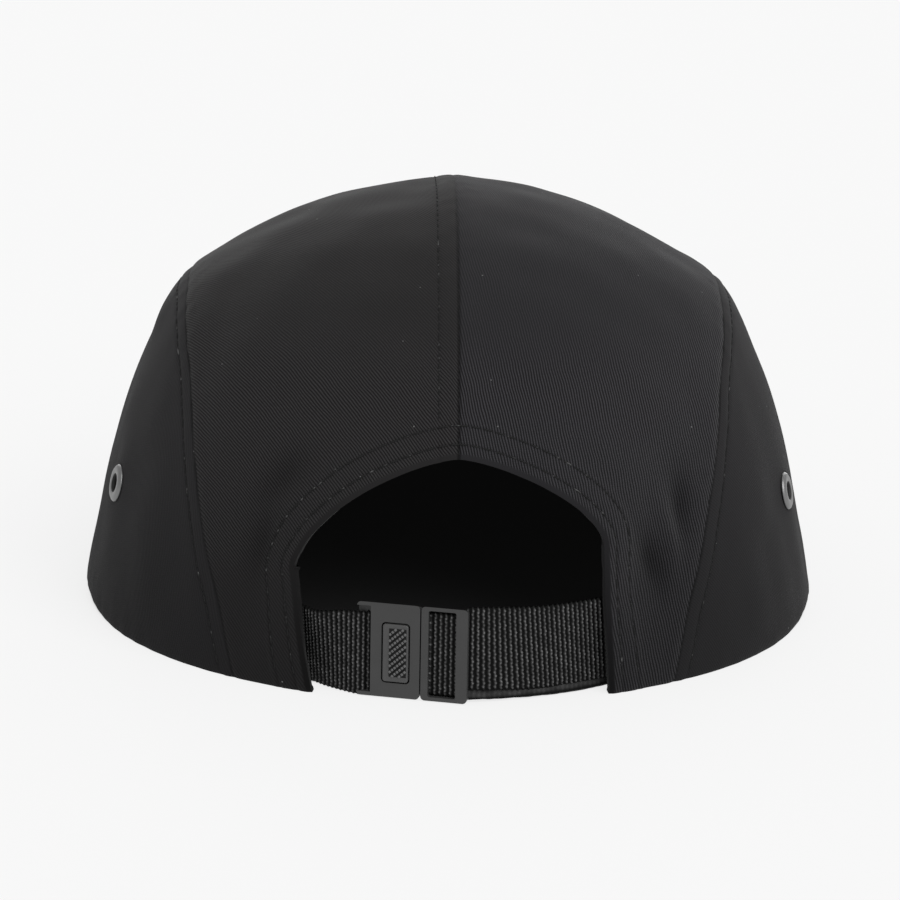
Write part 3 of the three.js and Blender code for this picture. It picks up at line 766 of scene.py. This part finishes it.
def cloth_material(name, lean, dark, light, tint=(1, 1, 1), sheen=0.07, rows=(SEAM_ROW,), rolled=-1,
                   relief_depth=0.16, plain_below=0.0):
    """Twill with its ribs at a lean in degrees, the distances of its stitch rows from the edge, how far
    its rolled edge reaches, and the height in metres below which its weave goes plain."""
    material, shader, w = new_material(name, {"Roughness": 0.95, "Specular IOR Level": 0.08,
                                              "Sheen Weight": sheen, "Sheen Roughness": 0.45})
    uv = w.node("ShaderNodeUVMap", uv_map="cloth").outputs[0]
    woven = w.node("ShaderNodeGroup", {"Cloth": uv, "Lean": math.radians(lean)}, node_tree=twill_weave)
    spacing = rows[1] - rows[0] if len(rows) > 1 else 1
    away, seam = w.attribute("row_distance"), w.attribute("seam_distance")
    sewn = w.node("ShaderNodeGroup", {"Away": away, "Seam": seam, "First": rows[0], "Spacing": spacing,
                                      "Last": len(rows) - 1, "Rolled": rolled}, node_tree=sewn_lines)
    height = w.node("ShaderNodeSeparateXYZ", {0: w.node("ShaderNodeTexCoord").outputs["Object"]}).outputs[2]
    soft = w.ramp(height, SOFT_FROM, SOFT_TO, 0.0, SOFT_SHARE)
    if plain_below:
        soft = w.maths("MAXIMUM", soft, w.ramp(height, 0.6 * plain_below, plain_below, 0.6, 0.0))
    plain = w.maths("MAXIMUM", sewn.outputs["Smooth"], soft)
    rib = w.node("ShaderNodeMix", {0: plain, 2: woven.outputs["Rib"], 3: PLAIN_RIB}).outputs[0]
    base = w.blend(rib, rgb(dark, tint), rgb(light, tint))
    base = w.blend(w.maths("MULTIPLY", w.noise(uv, 0.05), 0.12), base, rgb(light * 0.8, tint))
    # Painted shade towards the rim, twice as deep on the rolled edge of the hem
    low = w.ramp(height, 0.0, SHADE_FROM, RIM_SHADE, 0.0)
    base = w.blend(w.maths("MULTIPLY", low, w.maths("ADD", sewn.outputs["Smooth"], 1.0)), base, rgb(0))
    # Painted shade in the folds, deeper where the cloth sinks further
    base = w.blend(w.maths("MULTIPLY", w.attribute("sunk"), FOLD_SHADE, clamp=True), base, rgb(0))
    # Painted shade in the stitch rows and in the seams
    base = w.blend(sewn.outputs["Painted shade"], base, rgb(0.0005))
    w.set(shader.inputs["Base Color"], w.blend(woven.outputs["Lint"], base, rgb(0.12)))
    raised = w.node("ShaderNodeMix", {0: plain, 2: woven.outputs["Height"], 3: PLAIN_HEIGHT}).outputs[0]
    w.set(shader.inputs["Normal"], w.bump(raised, 0.8, relief_depth))
    return material


def webbing_material(name, dark, light):
    material, shader, w = new_material(name, {"Roughness": 0.6, "Specular IOR Level": 0.07})
    grain = w.noise(w.node("ShaderNodeUVMap", uv_map="cloth").outputs[0], 5.0, 2.0, 0.6)
    # Painted shade in the valleys between the ribs and painted sheen on their crests, from the crest height,
    # with painted glints scattered by the grain noise
    crest = w.maths("POWER", w.attribute("crest"), 2.2)
    shown = w.maths("MULTIPLY", crest, w.scaled(grain, 1.0, 0.5), clamp=True)
    w.set(shader.inputs["Base Color"], w.blend(shown, rgb(dark), rgb(light)))
    w.set(shader.inputs["Normal"], w.bump(grain, 0.6, 0.1))
    return material


def thread_material(name, dark, light):
    """Matt thread with painted glints: it is lighter in a few places only."""
    material, shader, w = new_material(name, {"Roughness": 0.8, "Specular IOR Level": 0.1})
    painted_glints = w.noise(w.node("ShaderNodeTexCoord").outputs["Object"], 420, 2.0, 0.6)
    w.set(shader.inputs["Base Color"], w.blend(w.ramp(painted_glints, 0.56, 0.7), rgb(dark), rgb(light)))
    return material


def hard_material(name, colour, roughness, metallic, grain_scale, grain_depth, specular=0.5):
    material, shader, w = new_material(name, {"Metallic": metallic, "Specular IOR Level": specular})
    place = w.node("ShaderNodeTexCoord").outputs["Object"]
    grain = w.noise(place, grain_scale, 3.0, 0.6)
    cloudy = w.noise(place, grain_scale / 12)
    w.set(shader.inputs["Base Color"], w.blend(cloudy, rgb(colour * 0.85), rgb(colour * 1.15)))
    w.set(shader.inputs["Roughness"], w.scaled(cloudy, 0.12, roughness - 0.06))
    w.set(shader.inputs["Normal"], w.bump(grain, 0.5, grain_depth))
    return material


twill_weave = twill_group()
sewn_lines = sewn_group()
# Every panel is the same black twill; the copies differ in lightness as painted light and shade, the right
# back panel and the sides lighter than the left back panel
back_twill = {
    "left": cloth_material("twill back left", -36, 0.004, 0.033, (1.02, 0.98, 1.0), rows=HEM_ROWS, rolled=1.2,
                           plain_below=0.032),
    "right": cloth_material("twill back right", -12, 0.002, 0.041, (1.0, 0.97, 1.06), rows=HEM_ROWS,
                            rolled=1.2),
}
side_twill = cloth_material("twill sides", -30, 0.0155, 0.0204, (1.01, 0.98, 1.03), 0.04, relief_depth=0.06)
peak_twill = cloth_material("twill peak", -30, 0.005, 0.021, (1.01, 0.98, 1.03), rows=PEAK_ROWS_AWAY)
# The inside of the panels is the same twill made far darker, as painted shade
inner_twill_painted_shade = cloth_material("twill inner side, painted shade", 30, 0.001, 0.005, sheen=0, rows=(-9,))
webbing_black = webbing_material("webbing", 0.0012, 0.135)
thread_black = thread_material("thread", 0.012, 0.075)
plastic_black = hard_material("buckle plastic", 0.026, 0.5, 0, 2500, 0.02)
# Painted shade in the gaps between the button's ridges
plastic_painted_shade = hard_material("buckle plastic, painted shade in the grooves", 0.006, 0.8, 0, 2500, 0.02, 0.2)
plastic_button = hard_material("buckle plastic button", 0.042, 0.5, 0, 2500, 0.02)
# A lighter plastic for the ridges of the button
plastic_lighter_ridges = hard_material("buckle plastic lighter ridges", 0.075, 0.45, 0, 2500, 0.01)
gunmetal = hard_material("gunmetal", 0.2, 0.42, 0.9, 1500, 0.01)
# Painted shade in the eyelet's bore
bore_painted_shade = hard_material("eyelet bore, painted shade", 0.008, 0.7, 0.2, 1500, 0.01)


# Flat coordinates of the cloth in millimetres, which the weave follows

def back_grain(direction_of, points):
    turn = np.arctan2(direction_of[:, 2], direction_of[:, 1])
    girth = 0.5 + 0.5 * np.sqrt(1 - direction_of[:, 0] ** 2)
    return np.stack([-points[:, 0], turn * girth * CROWN_BACK_REACH], -1)


def side_grain(direction_of, points):
    away = np.arccos(np.clip(np.abs(direction_of[:, 0]), 0, 1)) * CROWN_HALF_WIDTH
    turn = np.arctan2(direction_of[:, 2], direction_of[:, 1])
    return np.stack([away * np.cos(turn) * np.sign(direction_of[:, 0]), away * np.sin(turn)], -1)


def front_grain(direction_of, points):
    return np.stack([np.arcsin(np.clip(direction_of[:, 0], -1, 1)) * CROWN_HALF_WIDTH, points[:, 2]], -1)


# Stitches

THREAD_RADIUS = 0.2
STITCH_PITCH = 2.9
STITCH_LENGTH = 2.45
STITCH_PROUD = 0.02


def one_stitch():
    bm = bmesh.new()
    bmesh.ops.create_uvsphere(bm, u_segments=8, v_segments=6, radius=1)
    mesh = bpy.data.meshes.new("stitch")
    bm.to_mesh(mesh)
    bm.free()
    return mesh


def stitch_row(bm, stitch, line):
    """Rounded stitches along a line of points and normals."""
    if len(line) < 4:
        return
    points = np.array([p for p, _ in line])
    normals = unit(np.array([n for _, n in line]))
    reach = np.concatenate([[0], np.cumsum(np.linalg.norm(np.diff(points, axis=0), axis=1))])
    count = int(reach[-1] / STITCH_PITCH)
    for k in range(count):
        middle = (k + 0.5) * STITCH_PITCH
        ends = [np.array([np.interp(s, reach, points[:, a]) for a in range(3)])
                for s in (middle - STITCH_LENGTH / 2, middle + STITCH_LENGTH / 2)]
        up = unit(np.array([np.interp(middle, reach, normals[:, a]) for a in range(3)]))
        centre = np.array([np.interp(middle, reach, points[:, a]) for a in range(3)]) + up * STITCH_PROUD
        along = Vector(unit(ends[1] - ends[0]))
        across = Vector(up).cross(along).normalized()
        lift = along.cross(across)
        turn = Matrix((along, across, lift)).transposed().to_4x4()
        size = Matrix.Diagonal((STITCH_LENGTH / 2000, THREAD_RADIUS / 1000, THREAD_RADIUS / 1000, 1))
        placed = stitch.copy()
        placed.transform(Matrix.Translation(Vector(to_frame(centre))) @ turn @ size)
        bm.from_mesh(placed)
        bpy.data.meshes.remove(placed)


def thread_piece(name, lines):
    bm = bmesh.new()
    stitch = one_stitch()
    for line in lines:
        stitch_row(bm, stitch, line)
    bpy.data.meshes.remove(stitch)
    piece = new_piece(name, bm)
    dress(piece, [thread_black])


# Panels

for side, seed in (("left", 1), ("right", 2)):
    centre_rows = [CENTRE_ROW] if side == "left" else []
    stitched = [([NEAR], away) for away in HEM_ROWS] + [([START], away) for away in centre_rows]
    panel = Panel(f"back_cloth_{side}", back_edges(side), 240, 110, (HEM, SEAM, SEAM, RIM), stitched, seed)
    lines = [panel.row_along(NEAR, away, {END: 1.5, START: 0}) for away in HEM_ROWS]
    lines += [panel.row_along(START, away, {NEAR: 9, FAR: 1}) for away in centre_rows]
    thread_piece(f"stitches_back_{side}", lines)
    panel.finish(back_twill[side], [f"back_panel_{side}"], back_grain)


def eyelet_spot(side):
    sign = OPENINGS[side][0]
    up = (EYELET_HEIGHT - EAR_LIFT / 2) / CROWN_HEIGHT
    back = EYELET_BACK / CROWN_BACK_REACH
    u = np.array([sign * math.sqrt(1 - up * up - back * back), back, up])
    return crown(u), crown_normal(u)


for side, seed in (("left", 21), ("right", 22)):
    panel = Panel(f"side_cloth_{side}", side_edges(side), 130, 84, (RIM, SEAM, SEAM, SEAM),
                  [([START, FAR, END], SEAM_ROW)], seed)
    lines = [panel.row_along(START, SEAM_ROW, {NEAR: 1.5, FAR: 3.5}),
             panel.row_along(FAR, SEAM_ROW, {START: 3.5, END: 4}),
             panel.row_along(END, SEAM_ROW, {NEAR: 1.5, FAR: 4})]
    thread_piece(f"stitches_side_{side}", lines)
    spot = Vector(to_frame(eyelet_spot(side)[0]))
    panel.finish(side_twill, [f"side_panel_{side}"], side_grain, (spot, EYELET_HOLE_RADIUS / 1000))

panel = Panel("front_cloth", front_edges(), 150, 70, (RIM, SEAM, SEAM, SEAM), [([FAR], SEAM_ROW)], 31)
thread_piece("stitches_front", [panel.row_along(FAR, SEAM_ROW, {START: 1, END: 1})])
panel.finish(side_twill, ["front_panel"], front_grain)


# Peak: stiff board covered with twill on both sides, with rows of stitches along its front edge

PEAK_COLUMNS, PEAK_ROWS = 150, 60
PEAK_ROW_DEPTH, PEAK_ROW_SPREAD = 0.22, 0.7
PEAK_STITCH_SINK = 0.18
FAR_FROM_SEAMS = 9.0


def peak_rays(s):
    """Ends of the lines from the crown to the peak's edge at a place from side to side, -1 to 1, with the
    height where they start and their length."""
    angle = s * math.radians(180 - bearing_of(front_seam(1, 0)))
    inner = np.stack([np.sin(angle), -np.cos(angle), np.zeros_like(angle)], -1)
    seat = rim_lift(inner) - FIT_GAP
    inner = inner * (1 - PEAK_SEAM_ALLOWANCE / CROWN_HALF_WIDTH) * (CROWN_HALF_WIDTH, CROWN_FRONT_REACH, 0)
    turn = s * math.pi / 2
    power = 2 / PEAK_OUTLINE_POWER
    ahead = CROWN_FRONT_REACH + PEAK_REACH - PEAK_CORNER_BACK
    outer = np.stack([np.sign(s) * np.abs(np.sin(turn)) ** power * PEAK_HALF_WIDTH,
                      -PEAK_CORNER_BACK - ahead * np.maximum(np.cos(turn), 0) ** power, np.zeros_like(s)], -1)
    return inner, outer, seat, np.linalg.norm(outer - inner, axis=-1)


def peak_slope():
    """How steeply the peak falls so that its lower face reaches the floor at its lowest place only."""
    inner, outer, seat, run = peak_rays(2 * np.arange(25) / 24 - 1)
    return float(np.min((seat - PEAK_THICKNESS) / run))


PEAK_SLOPE = peak_slope()


def peak_top(s, t):
    """Upper face of the peak at a place from side to side, and from the crown, 0, to its edge, 1."""
    inner, outer, seat, run = peak_rays(s)
    place = lerp(inner, outer, np.asarray(t)[..., None])
    place[..., 2] = seat - t * run * PEAK_SLOPE
    return place


def make_peak():
    bm = bmesh.new()
    bmesh.ops.create_grid(bm, x_segments=PEAK_COLUMNS, y_segments=PEAK_ROWS, size=0.5)
    u, v, order = grid_order(bm, PEAK_COLUMNS, PEAK_ROWS)
    points = peak_top(2 * u - 1, v)
    share = np.linspace(-1, 1, 800)
    away = distance_to(points, peak_top(share, np.ones(800)))
    normal = np.tile((0.0, 0.0, 1.0), (len(points), 1))
    grids = [as_grid(x, order, PEAK_COLUMNS, PEAK_ROWS) for x in (points, normal, away)]
    side_gap = as_grid(np.minimum(u, 1 - u), order, PEAK_COLUMNS, PEAK_ROWS)
    lines = []
    for distance in PEAK_ROWS_AWAY:
        row = contour(*grids, [(side_gap, 0.01)], FAR, distance)
        lines.append([(p - (0, 0, PEAK_STITCH_SINK), n) for p, n in row])
        lines.append([(p - (0, 0, PEAK_THICKNESS - PEAK_STITCH_SINK), -n) for p, n in row])
        points[:, 2] -= PEAK_ROW_DEPTH * bell(away - distance, PEAK_ROW_SPREAD)
    thread_piece("stitches_peak", lines)
    place_vertices(bm, points, normal)
    note_distances(bm, away, np.full(len(points), FAR_FROM_SEAMS), np.zeros(len(points)))
    lay_flat(bm, points[:, :2])
    piece = new_piece("peak_cloth", bm)
    wall(piece, PEAK_THICKNESS, 1.1)
    dress(piece, [peak_twill], ["peak"])


make_peak()


# Webbing

RIB_PITCH = 1.25
BEAD_PITCH = 0.87
RIB_HEIGHT = 0.5
RIB_SINK = 0.3
ZIGZAG = 0.1


def strap_curve(x):
    """Outer face of the strap in plan without the buckle, at a place across."""
    x = np.asarray(x, float)
    inside = np.full(x.shape, np.inf)
    for step in range(5):
        u = back_direction(x, STRAP_FLOOR_GAP + STRAP_WIDTH * step / 4)
        depth = (CLOTH_WALL + STRAP_SEAT_GAP) / crown_normal(u)[..., 1]
        inside = np.minimum(inside, crown(u)[..., 1] - depth)
    reach = min(OPENINGS[side][3] for side in OPENINGS)
    bow = np.where(np.abs(x) < reach, STRAP_BOW * np.cos(x / reach * math.pi / 2) ** 2, 0)
    return np.stack([x, inside + bow], -1)


buckle_left, buckle_right = strap_curve(BUCKLE_LEFT_REACH), strap_curve(BUCKLE_RIGHT_REACH)
buckle_length = float(np.linalg.norm(buckle_left - buckle_right))
buckle_middle = (buckle_left + buckle_right) / 2
buckle_angle = math.atan2(buckle_left[1] - buckle_right[1], buckle_left[0] - buckle_right[0])
plate_end = buckle_length / 2 - PLATE_LENGTH


def strap_outer(x):
    held = ((x >= BUCKLE_RIGHT_REACH) & (x <= BUCKLE_LEFT_REACH))[..., None]
    share = ((x - BUCKLE_RIGHT_REACH) / (BUCKLE_LEFT_REACH - BUCKLE_RIGHT_REACH))[..., None]
    return np.where(held, lerp(buckle_right, buckle_left, share), strap_curve(x))


def across_at(along):
    return buckle_middle[0] + along * math.cos(buckle_angle)


def webbing(name, node, ends, behind, below, tuck, slant, per_rib, rows, ribbed=1.0, drawn=0.0, bend=1):
    """Ribbed tape between two places across. The functions give how far it lies behind the outer face
    of the strap, how far below its usual height, how far its lower edge is tucked in, and how far the
    lower ends of its ribs are carried along. Ribbed is how strongly the ribs show, drawn the share that
    it narrows by at the left panel, and a higher bend keeps the tuck to the lower edge."""
    x = np.linspace(*ends, 700)
    along = unit(strap_outer(x + 0.5) - strap_outer(x - 0.5))
    inward = np.stack([along[:, 1], -along[:, 0]], -1)
    path = strap_outer(x) + inward * behind(x)[:, None]
    reach = np.concatenate([[0], np.cumsum(np.linalg.norm(np.diff(path, axis=0), axis=1))])
    columns = round(reach[-1] / RIB_PITCH * per_rib)
    bm = bmesh.new()
    bmesh.ops.create_grid(bm, x_segments=columns, y_segments=rows, size=0.5)
    u, v, order = grid_order(bm, columns, rows)
    run = u * reach[-1]
    at = np.interp(run, reach, x)
    plan = np.stack([np.interp(run, reach, path[:, k]) for k in (0, 1)], -1)
    outward = -np.stack([np.interp(run, reach, inward[:, k]) for k in (0, 1)], -1)
    tucked = tuck(at)
    tall = np.sqrt(STRAP_WIDTH ** 2 - tucked ** 2) * (1 - drawn * near_left_panel(at))
    height = v * STRAP_WIDTH
    zigzag = ZIGZAG * (4 * np.abs((height / (2 * BEAD_PITCH)) % 1 - 0.5) - 1)
    phase = (run + zigzag + slant(at) * (1 - v)) / RIB_PITCH
    round_rib = bell(2 * (phase % 1) - 1, 0.5)
    bead = 0.5 + 0.5 * np.cos(math.tau * (height / BEAD_PITCH + 0.5 * np.floor(phase)))
    crest = lerp(0.48, round_rib * (0.55 + 0.45 * bead), ribbed)
    uneven = 1 + 0.25 * ripple(np.stack([run, height, 0 * run], -1), 0.6, 41)
    edge = np.minimum(height, STRAP_WIDTH - height)
    crest = crest * smoothstep(edge, -0.2, 0.8) * uneven
    out = RIB_HEIGHT * crest - RIB_SINK
    loops = ribbed * np.where(v > 0.5, 0.5, -0.2) * (round_rib - 0.6) * (1 - smoothstep(edge, 0, 0.9))
    points = np.concatenate([plan + outward * out[:, None],
                             (STRAP_FLOOR_GAP - below(at) + v * tall + loops)[:, None]], axis=1)
    points[:, 1] -= tucked * (1 - v) ** bend
    place_vertices(bm, points, (0, 1, 0))
    lay_flat(bm, np.stack([run, height], -1))
    piece = new_piece(name, bm)
    piece.data.attributes.new("crest", "FLOAT", "POINT").data.foreach_set("value", crest.astype(np.float32))
    thicken(piece, STRAP_THICKNESS - RIB_SINK)
    dress(piece, [webbing_black], [node])


def nothing(x):
    return np.zeros_like(x)


def in_slot(x):
    return 1 - smoothstep(-x, -BUCKLE_RIGHT_REACH - SLOT_REACH, -BUCKLE_RIGHT_REACH)


def near_left_panel(x):
    return smoothstep(x, BUCKLE_LEFT_REACH, OPENINGS["left"][3])


def forward_left(x):
    share = smoothstep(x, BUCKLE_LEFT_REACH + 1, STRAP_LEFT_FREE_REACH)
    turning_in = 1.3 * (1 - smoothstep(x, left_end, left_end + 2.6))
    return turning_in - BAR_THICKNESS * (1 - share) - STRAP_LEFT_BULGE * np.sin(share * math.pi)


def fall_right(x):
    share = smoothstep(-x, -BUCKLE_RIGHT_REACH, STRAP_DIP_REACH)
    return STRAP_RIGHT_SAG * share - 0.4 * (1 - share) + SLOT_DROP * in_slot(x)


def slant_right(x):
    return STRAP_RIGHT_SLANT * smoothstep(-x, 0, STRAP_RIGHT_SLANT_REACH)


def tuck_left(x):
    return STRAP_LEFT_TUCK * near_left_panel(x)


def slant_left(x):
    return STRAP_LEFT_SLANT * near_left_panel(x)


def curl_tail(x):
    return -TAIL_CURL - TAIL_CURL_GAIN * smoothstep(-x, 4, 30)


left_end = across_at(buckle_length / 2 - PLATE_BAR) + FIT_GAP
right_end = across_at(plate_end - PARTING_GAP - FRAME_LEFT_BAR) - FIT_GAP
webbing("webbing_left", "strap_left", (left_end, STRAP_END_REACH), forward_left,
        lambda x: np.full_like(x, STRAP_DIP + STRAP_LEFT_DROP), tuck_left, slant_left, 6, 92,
        drawn=STRAP_LEFT_DRAWN)
webbing("webbing_right", "strap_right", (-STRAP_END_REACH, right_end), lambda x: -SLOT_PROUD * in_slot(x),
        fall_right, nothing, slant_right, 6, 92)
webbing("webbing_tail", "strap_tail", (-TAIL_END_REACH, across_at(plate_end)),
        lambda x: np.full_like(x, STRAP_THICKNESS + TAIL_LAYER_GAP), lambda x: np.full_like(x, TAIL_DROP),
        curl_tail, nothing, 4, 70, ribbed=0.15, bend=9)


# Buckle: the moulded parts with rounded edges, and the ridges of the button

BUCKLE_THICKNESS = 3.4
BUTTON_PROUD = 0.4
buckle_outward = np.array([-math.sin(buckle_angle), math.cos(buckle_angle)])
buckle_back = buckle_middle - buckle_outward * (STRAP_THICKNESS + FIT_GAP)
buckle_floor = STRAP_FLOOR_GAP - STRAP_DIP + STRAP_WIDTH / 2 - BUCKLE_HEIGHT / 2
buckle_place = (Matrix.Translation(Vector(to_frame((*buckle_back, buckle_floor))))
                @ Matrix.Rotation(buckle_angle, 4, "Z"))


def round_edges(bm, edges, radius, segments):
    bmesh.ops.bevel(bm, geom=edges, offset=radius / 1000, offset_type="OFFSET", segments=segments,
                    profile=0.5, affect="EDGES", clamp_overlap=True, material=-1)


def rounded_copy(name, node, material, rounding, back_slope=0.0):
    """Copy of a moulded part with its sharp edges rounded, and its top sloping down to the back."""
    bm = bmesh.new()
    bm.from_mesh(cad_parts[node].data)
    bmesh.ops.remove_doubles(bm, verts=bm.verts[:], dist=2e-6)
    bmesh.ops.dissolve_limit(bm, angle_limit=math.radians(2), verts=bm.verts[:], edges=bm.edges[:])
    top = max(v.co.z for v in bm.verts)
    for vertex in bm.verts:
        local = buckle_place.inverted() @ vertex.co
        if top - vertex.co.z < 0.0011 and local.y < 0.0012:
            vertex.co.z -= back_slope / 1000
    sharp = [e for e in bm.edges if len(e.link_faces) == 2 and e.calc_face_angle(0) > math.radians(28)]
    round_edges(bm, sharp, rounding, 3)
    piece = new_piece(name, bm)
    piece.modifiers.new("even shading", "WEIGHTED_NORMAL")
    dress(piece, [material], [node])


rounded_copy("plate", "buckle_plate", plastic_black, 0.3, 1.1)
rounded_copy("frame", "buckle_frame", plastic_black, 0.4, 1.1)
rounded_copy("button", "release_button", plastic_button, 0.3)


def button_ridges():
    """Slanting ridges across the button, cut off at a rectangle."""
    left = buckle_length / 2 - WINDOW_FROM_LEFT
    low_x, high_x = left - WINDOW_LENGTH + 0.75, left - 1.9
    low_z, high_z = WINDOW_FLOOR + 1.6, WINDOW_FLOOR + WINDOW_HEIGHT - 1.3
    slope, spacing, radius = math.radians(42), 1.12, 0.31
    along = np.array([-math.cos(slope), math.sin(slope)])
    across = np.array([math.sin(slope), math.cos(slope)])
    middle = np.array([(low_x + high_x) / 2, (low_z + high_z) / 2])
    half = np.array([(high_x - low_x) / 2, (high_z - low_z) / 2])
    button_face = BUCKLE_THICKNESS + BUTTON_PROUD
    bm = bmesh.new()
    # A thin dark sheet under the ridges is painted shade in the gaps between them
    bed = Matrix.Translation((middle[0] / 1000, button_face / 1000, middle[1] / 1000))
    size = Matrix.Diagonal((half[0] / 1000, 0.05 / 1000, half[1] / 1000, 1))
    bmesh.ops.create_cube(bm, size=2, matrix=buckle_place @ bed @ size)
    round_edges(bm, bm.edges[:], 0.04, 2)
    piece = new_piece("button_painted_shade_sheet", bm)
    dress(piece, [plastic_painted_shade])
    bm = bmesh.new()
    for k in range(-6, 7):
        offset = across * spacing * k
        spans = [sorted((end - offset[a]) / along[a] for end in (-half[a], half[a])) for a in (0, 1)]
        first, last = max(s[0] for s in spans), min(s[1] for s in spans)
        if last - first < 0.9:
            continue
        pieces = max(1, round((last - first) / 0.8))
        step = (last - first) / pieces
        for number in range(pieces):
            centre = middle + offset + along * (first + (number + 0.5) * step)
            place = (Matrix.Translation((centre[0] / 1000, button_face / 1000, centre[1] / 1000))
                     @ Matrix.Rotation(slope - math.pi / 2, 4, "Y"))
            size = Matrix.Diagonal((radius / 1000, 0.42 / 1000, (step - 0.2) / 2000, 1))
            made = bmesh.ops.create_cube(bm, size=2, matrix=buckle_place @ place @ size)
            edges = {e for v in made["verts"] for e in v.link_edges}
            round_edges(bm, list(edges), 0.14, 2)
    piece = new_piece("button_ridges", bm)
    dress(piece, [plastic_lighter_ridges])


button_ridges()


# Eyelets

def make_eyelet(side):
    profile = [(2.05, -2.9), (2.0, 0.4), (2.08, 0.8), (2.35, 1.08), (2.8, 1.2), (3.4, 1.22), (3.95, 1.12),
               (4.4, 0.85), (4.62, 0.5), (4.6, 0.25), (4.3, 0.12), (2.85, 0.1), (2.8, -1.9), (4.5, -2.0),
               (4.65, -2.3), (4.4, -2.75), (3.9, -2.9)]
    place, normal = eyelet_spot(side)
    turn = Vector((0, 1, 0)).rotation_difference(Vector(normal)).to_matrix().to_4x4()
    bm = bmesh.new()
    ring = [bm.verts.new((r / 1000, h / 1000, 0)) for r, h in profile]
    edges = [bm.edges.new((a, b)) for a, b in zip(ring, ring[1:] + ring[:1])]
    bmesh.ops.spin(bm, geom=ring + edges, cent=(0, 0, 0), axis=(0, 1, 0), angle=math.tau, steps=56,
                   use_merge=True)
    bmesh.ops.recalc_face_normals(bm, faces=bm.faces[:])
    bmesh.ops.transform(bm, matrix=Matrix.Translation(Vector(to_frame(place))) @ turn, verts=bm.verts[:])
    piece = new_piece(f"eyelet_ring_{side}", bm)
    dress(piece, [gunmetal, bore_painted_shade], [f"eyelet_{side}"])
    middle, axis = Vector(to_frame(place)), Vector(normal)
    # Faces in the bore and under the flange take the dark bore colour, painted shade
    for face in piece.data.polygons:
        out = face.center - middle
        height = out.dot(axis)
        if (out - axis * height).length < EYELET_BORE_RADIUS / 1000 or height < 0:
            face.material_index = 1


for side in OPENINGS:
    make_eyelet(side)


# Floor and light

def stage_and_light():
    bm = bmesh.new()
    bmesh.ops.create_grid(bm, x_segments=1, y_segments=1, size=30)
    floor = new_piece("floor", bm)
    paper, shader, w = new_material("paper", {"Emission Strength": 0.78, "Roughness": 0.9,
                                              "Specular IOR Level": 0.0})
    # Painted shade: inside the cap's footprint and under the peak the floor is almost black, with a faint
    # glow; outside it is evenly bright
    place = w.node("ShaderNodeTexCoord").outputs["Object"]
    split = w.node("ShaderNodeSeparateXYZ", {0: place})
    behind = w.maths("SUBTRACT", w.maths("MULTIPLY", split.outputs[1], 1000.0), SHIFT)
    deep = w.maths("MAXIMUM", w.maths("DIVIDE", behind, 95.6), w.maths("DIVIDE", behind, -150.0))
    wide = w.maths("DIVIDE", split.outputs[0], 0.0908)
    placed = w.node("ShaderNodeCombineXYZ", {0: wide, 1: deep}).outputs[0]
    away = w.node("ShaderNodeVectorMath", {0: placed}, operation="LENGTH").outputs["Value"]
    across_squared = w.maths("POWER", w.maths("ABSOLUTE", split.outputs[0]), 2.0)
    bow = w.maths("MULTIPLY", w.maths("MINIMUM", across_squared, 0.0013), 6200.0)
    away = w.maths("MAXIMUM", away, w.maths("DIVIDE", w.maths("ADD", behind, bow), 88.0))
    floor_clear_of_painted_shade = w.ramp(away, 0.985, 1.0)
    w.set(shader.inputs["Base Color"], w.blend(floor_clear_of_painted_shade, rgb(0.04), rgb(0.13)))
    w.set(shader.inputs["Emission Color"], w.blend(floor_clear_of_painted_shade, rgb(0.003), rgb(1)))
    floor.data.materials.append(paper)
    world = bpy.data.worlds.new("studio")
    world.use_nodes = True
    background = world.node_tree.nodes["Background"]
    background.inputs["Color"].default_value = (1, 1, 1, 1)
    background.inputs["Strength"].default_value = 0.68
    bpy.context.scene.world = world
    suns = [("soft light", 2.1, (0.5, -0.8, -0.9)), ("fill light", 1.1, (0.1, 0.95, -0.3))]
    for name, strength, aim in suns:
        data = bpy.data.lights.new(name, "SUN")
        data.energy = strength
        data.angle = math.radians(50)
        light = bpy.data.objects.new(name, data)
        light.rotation_mode = "QUATERNION"
        light.rotation_quaternion = Vector(aim).to_track_quat("-Z", "Y")
        bpy.context.scene.collection.objects.link(light)
    bpy.context.scene.view_settings.view_transform = "Standard"


stage_and_light()
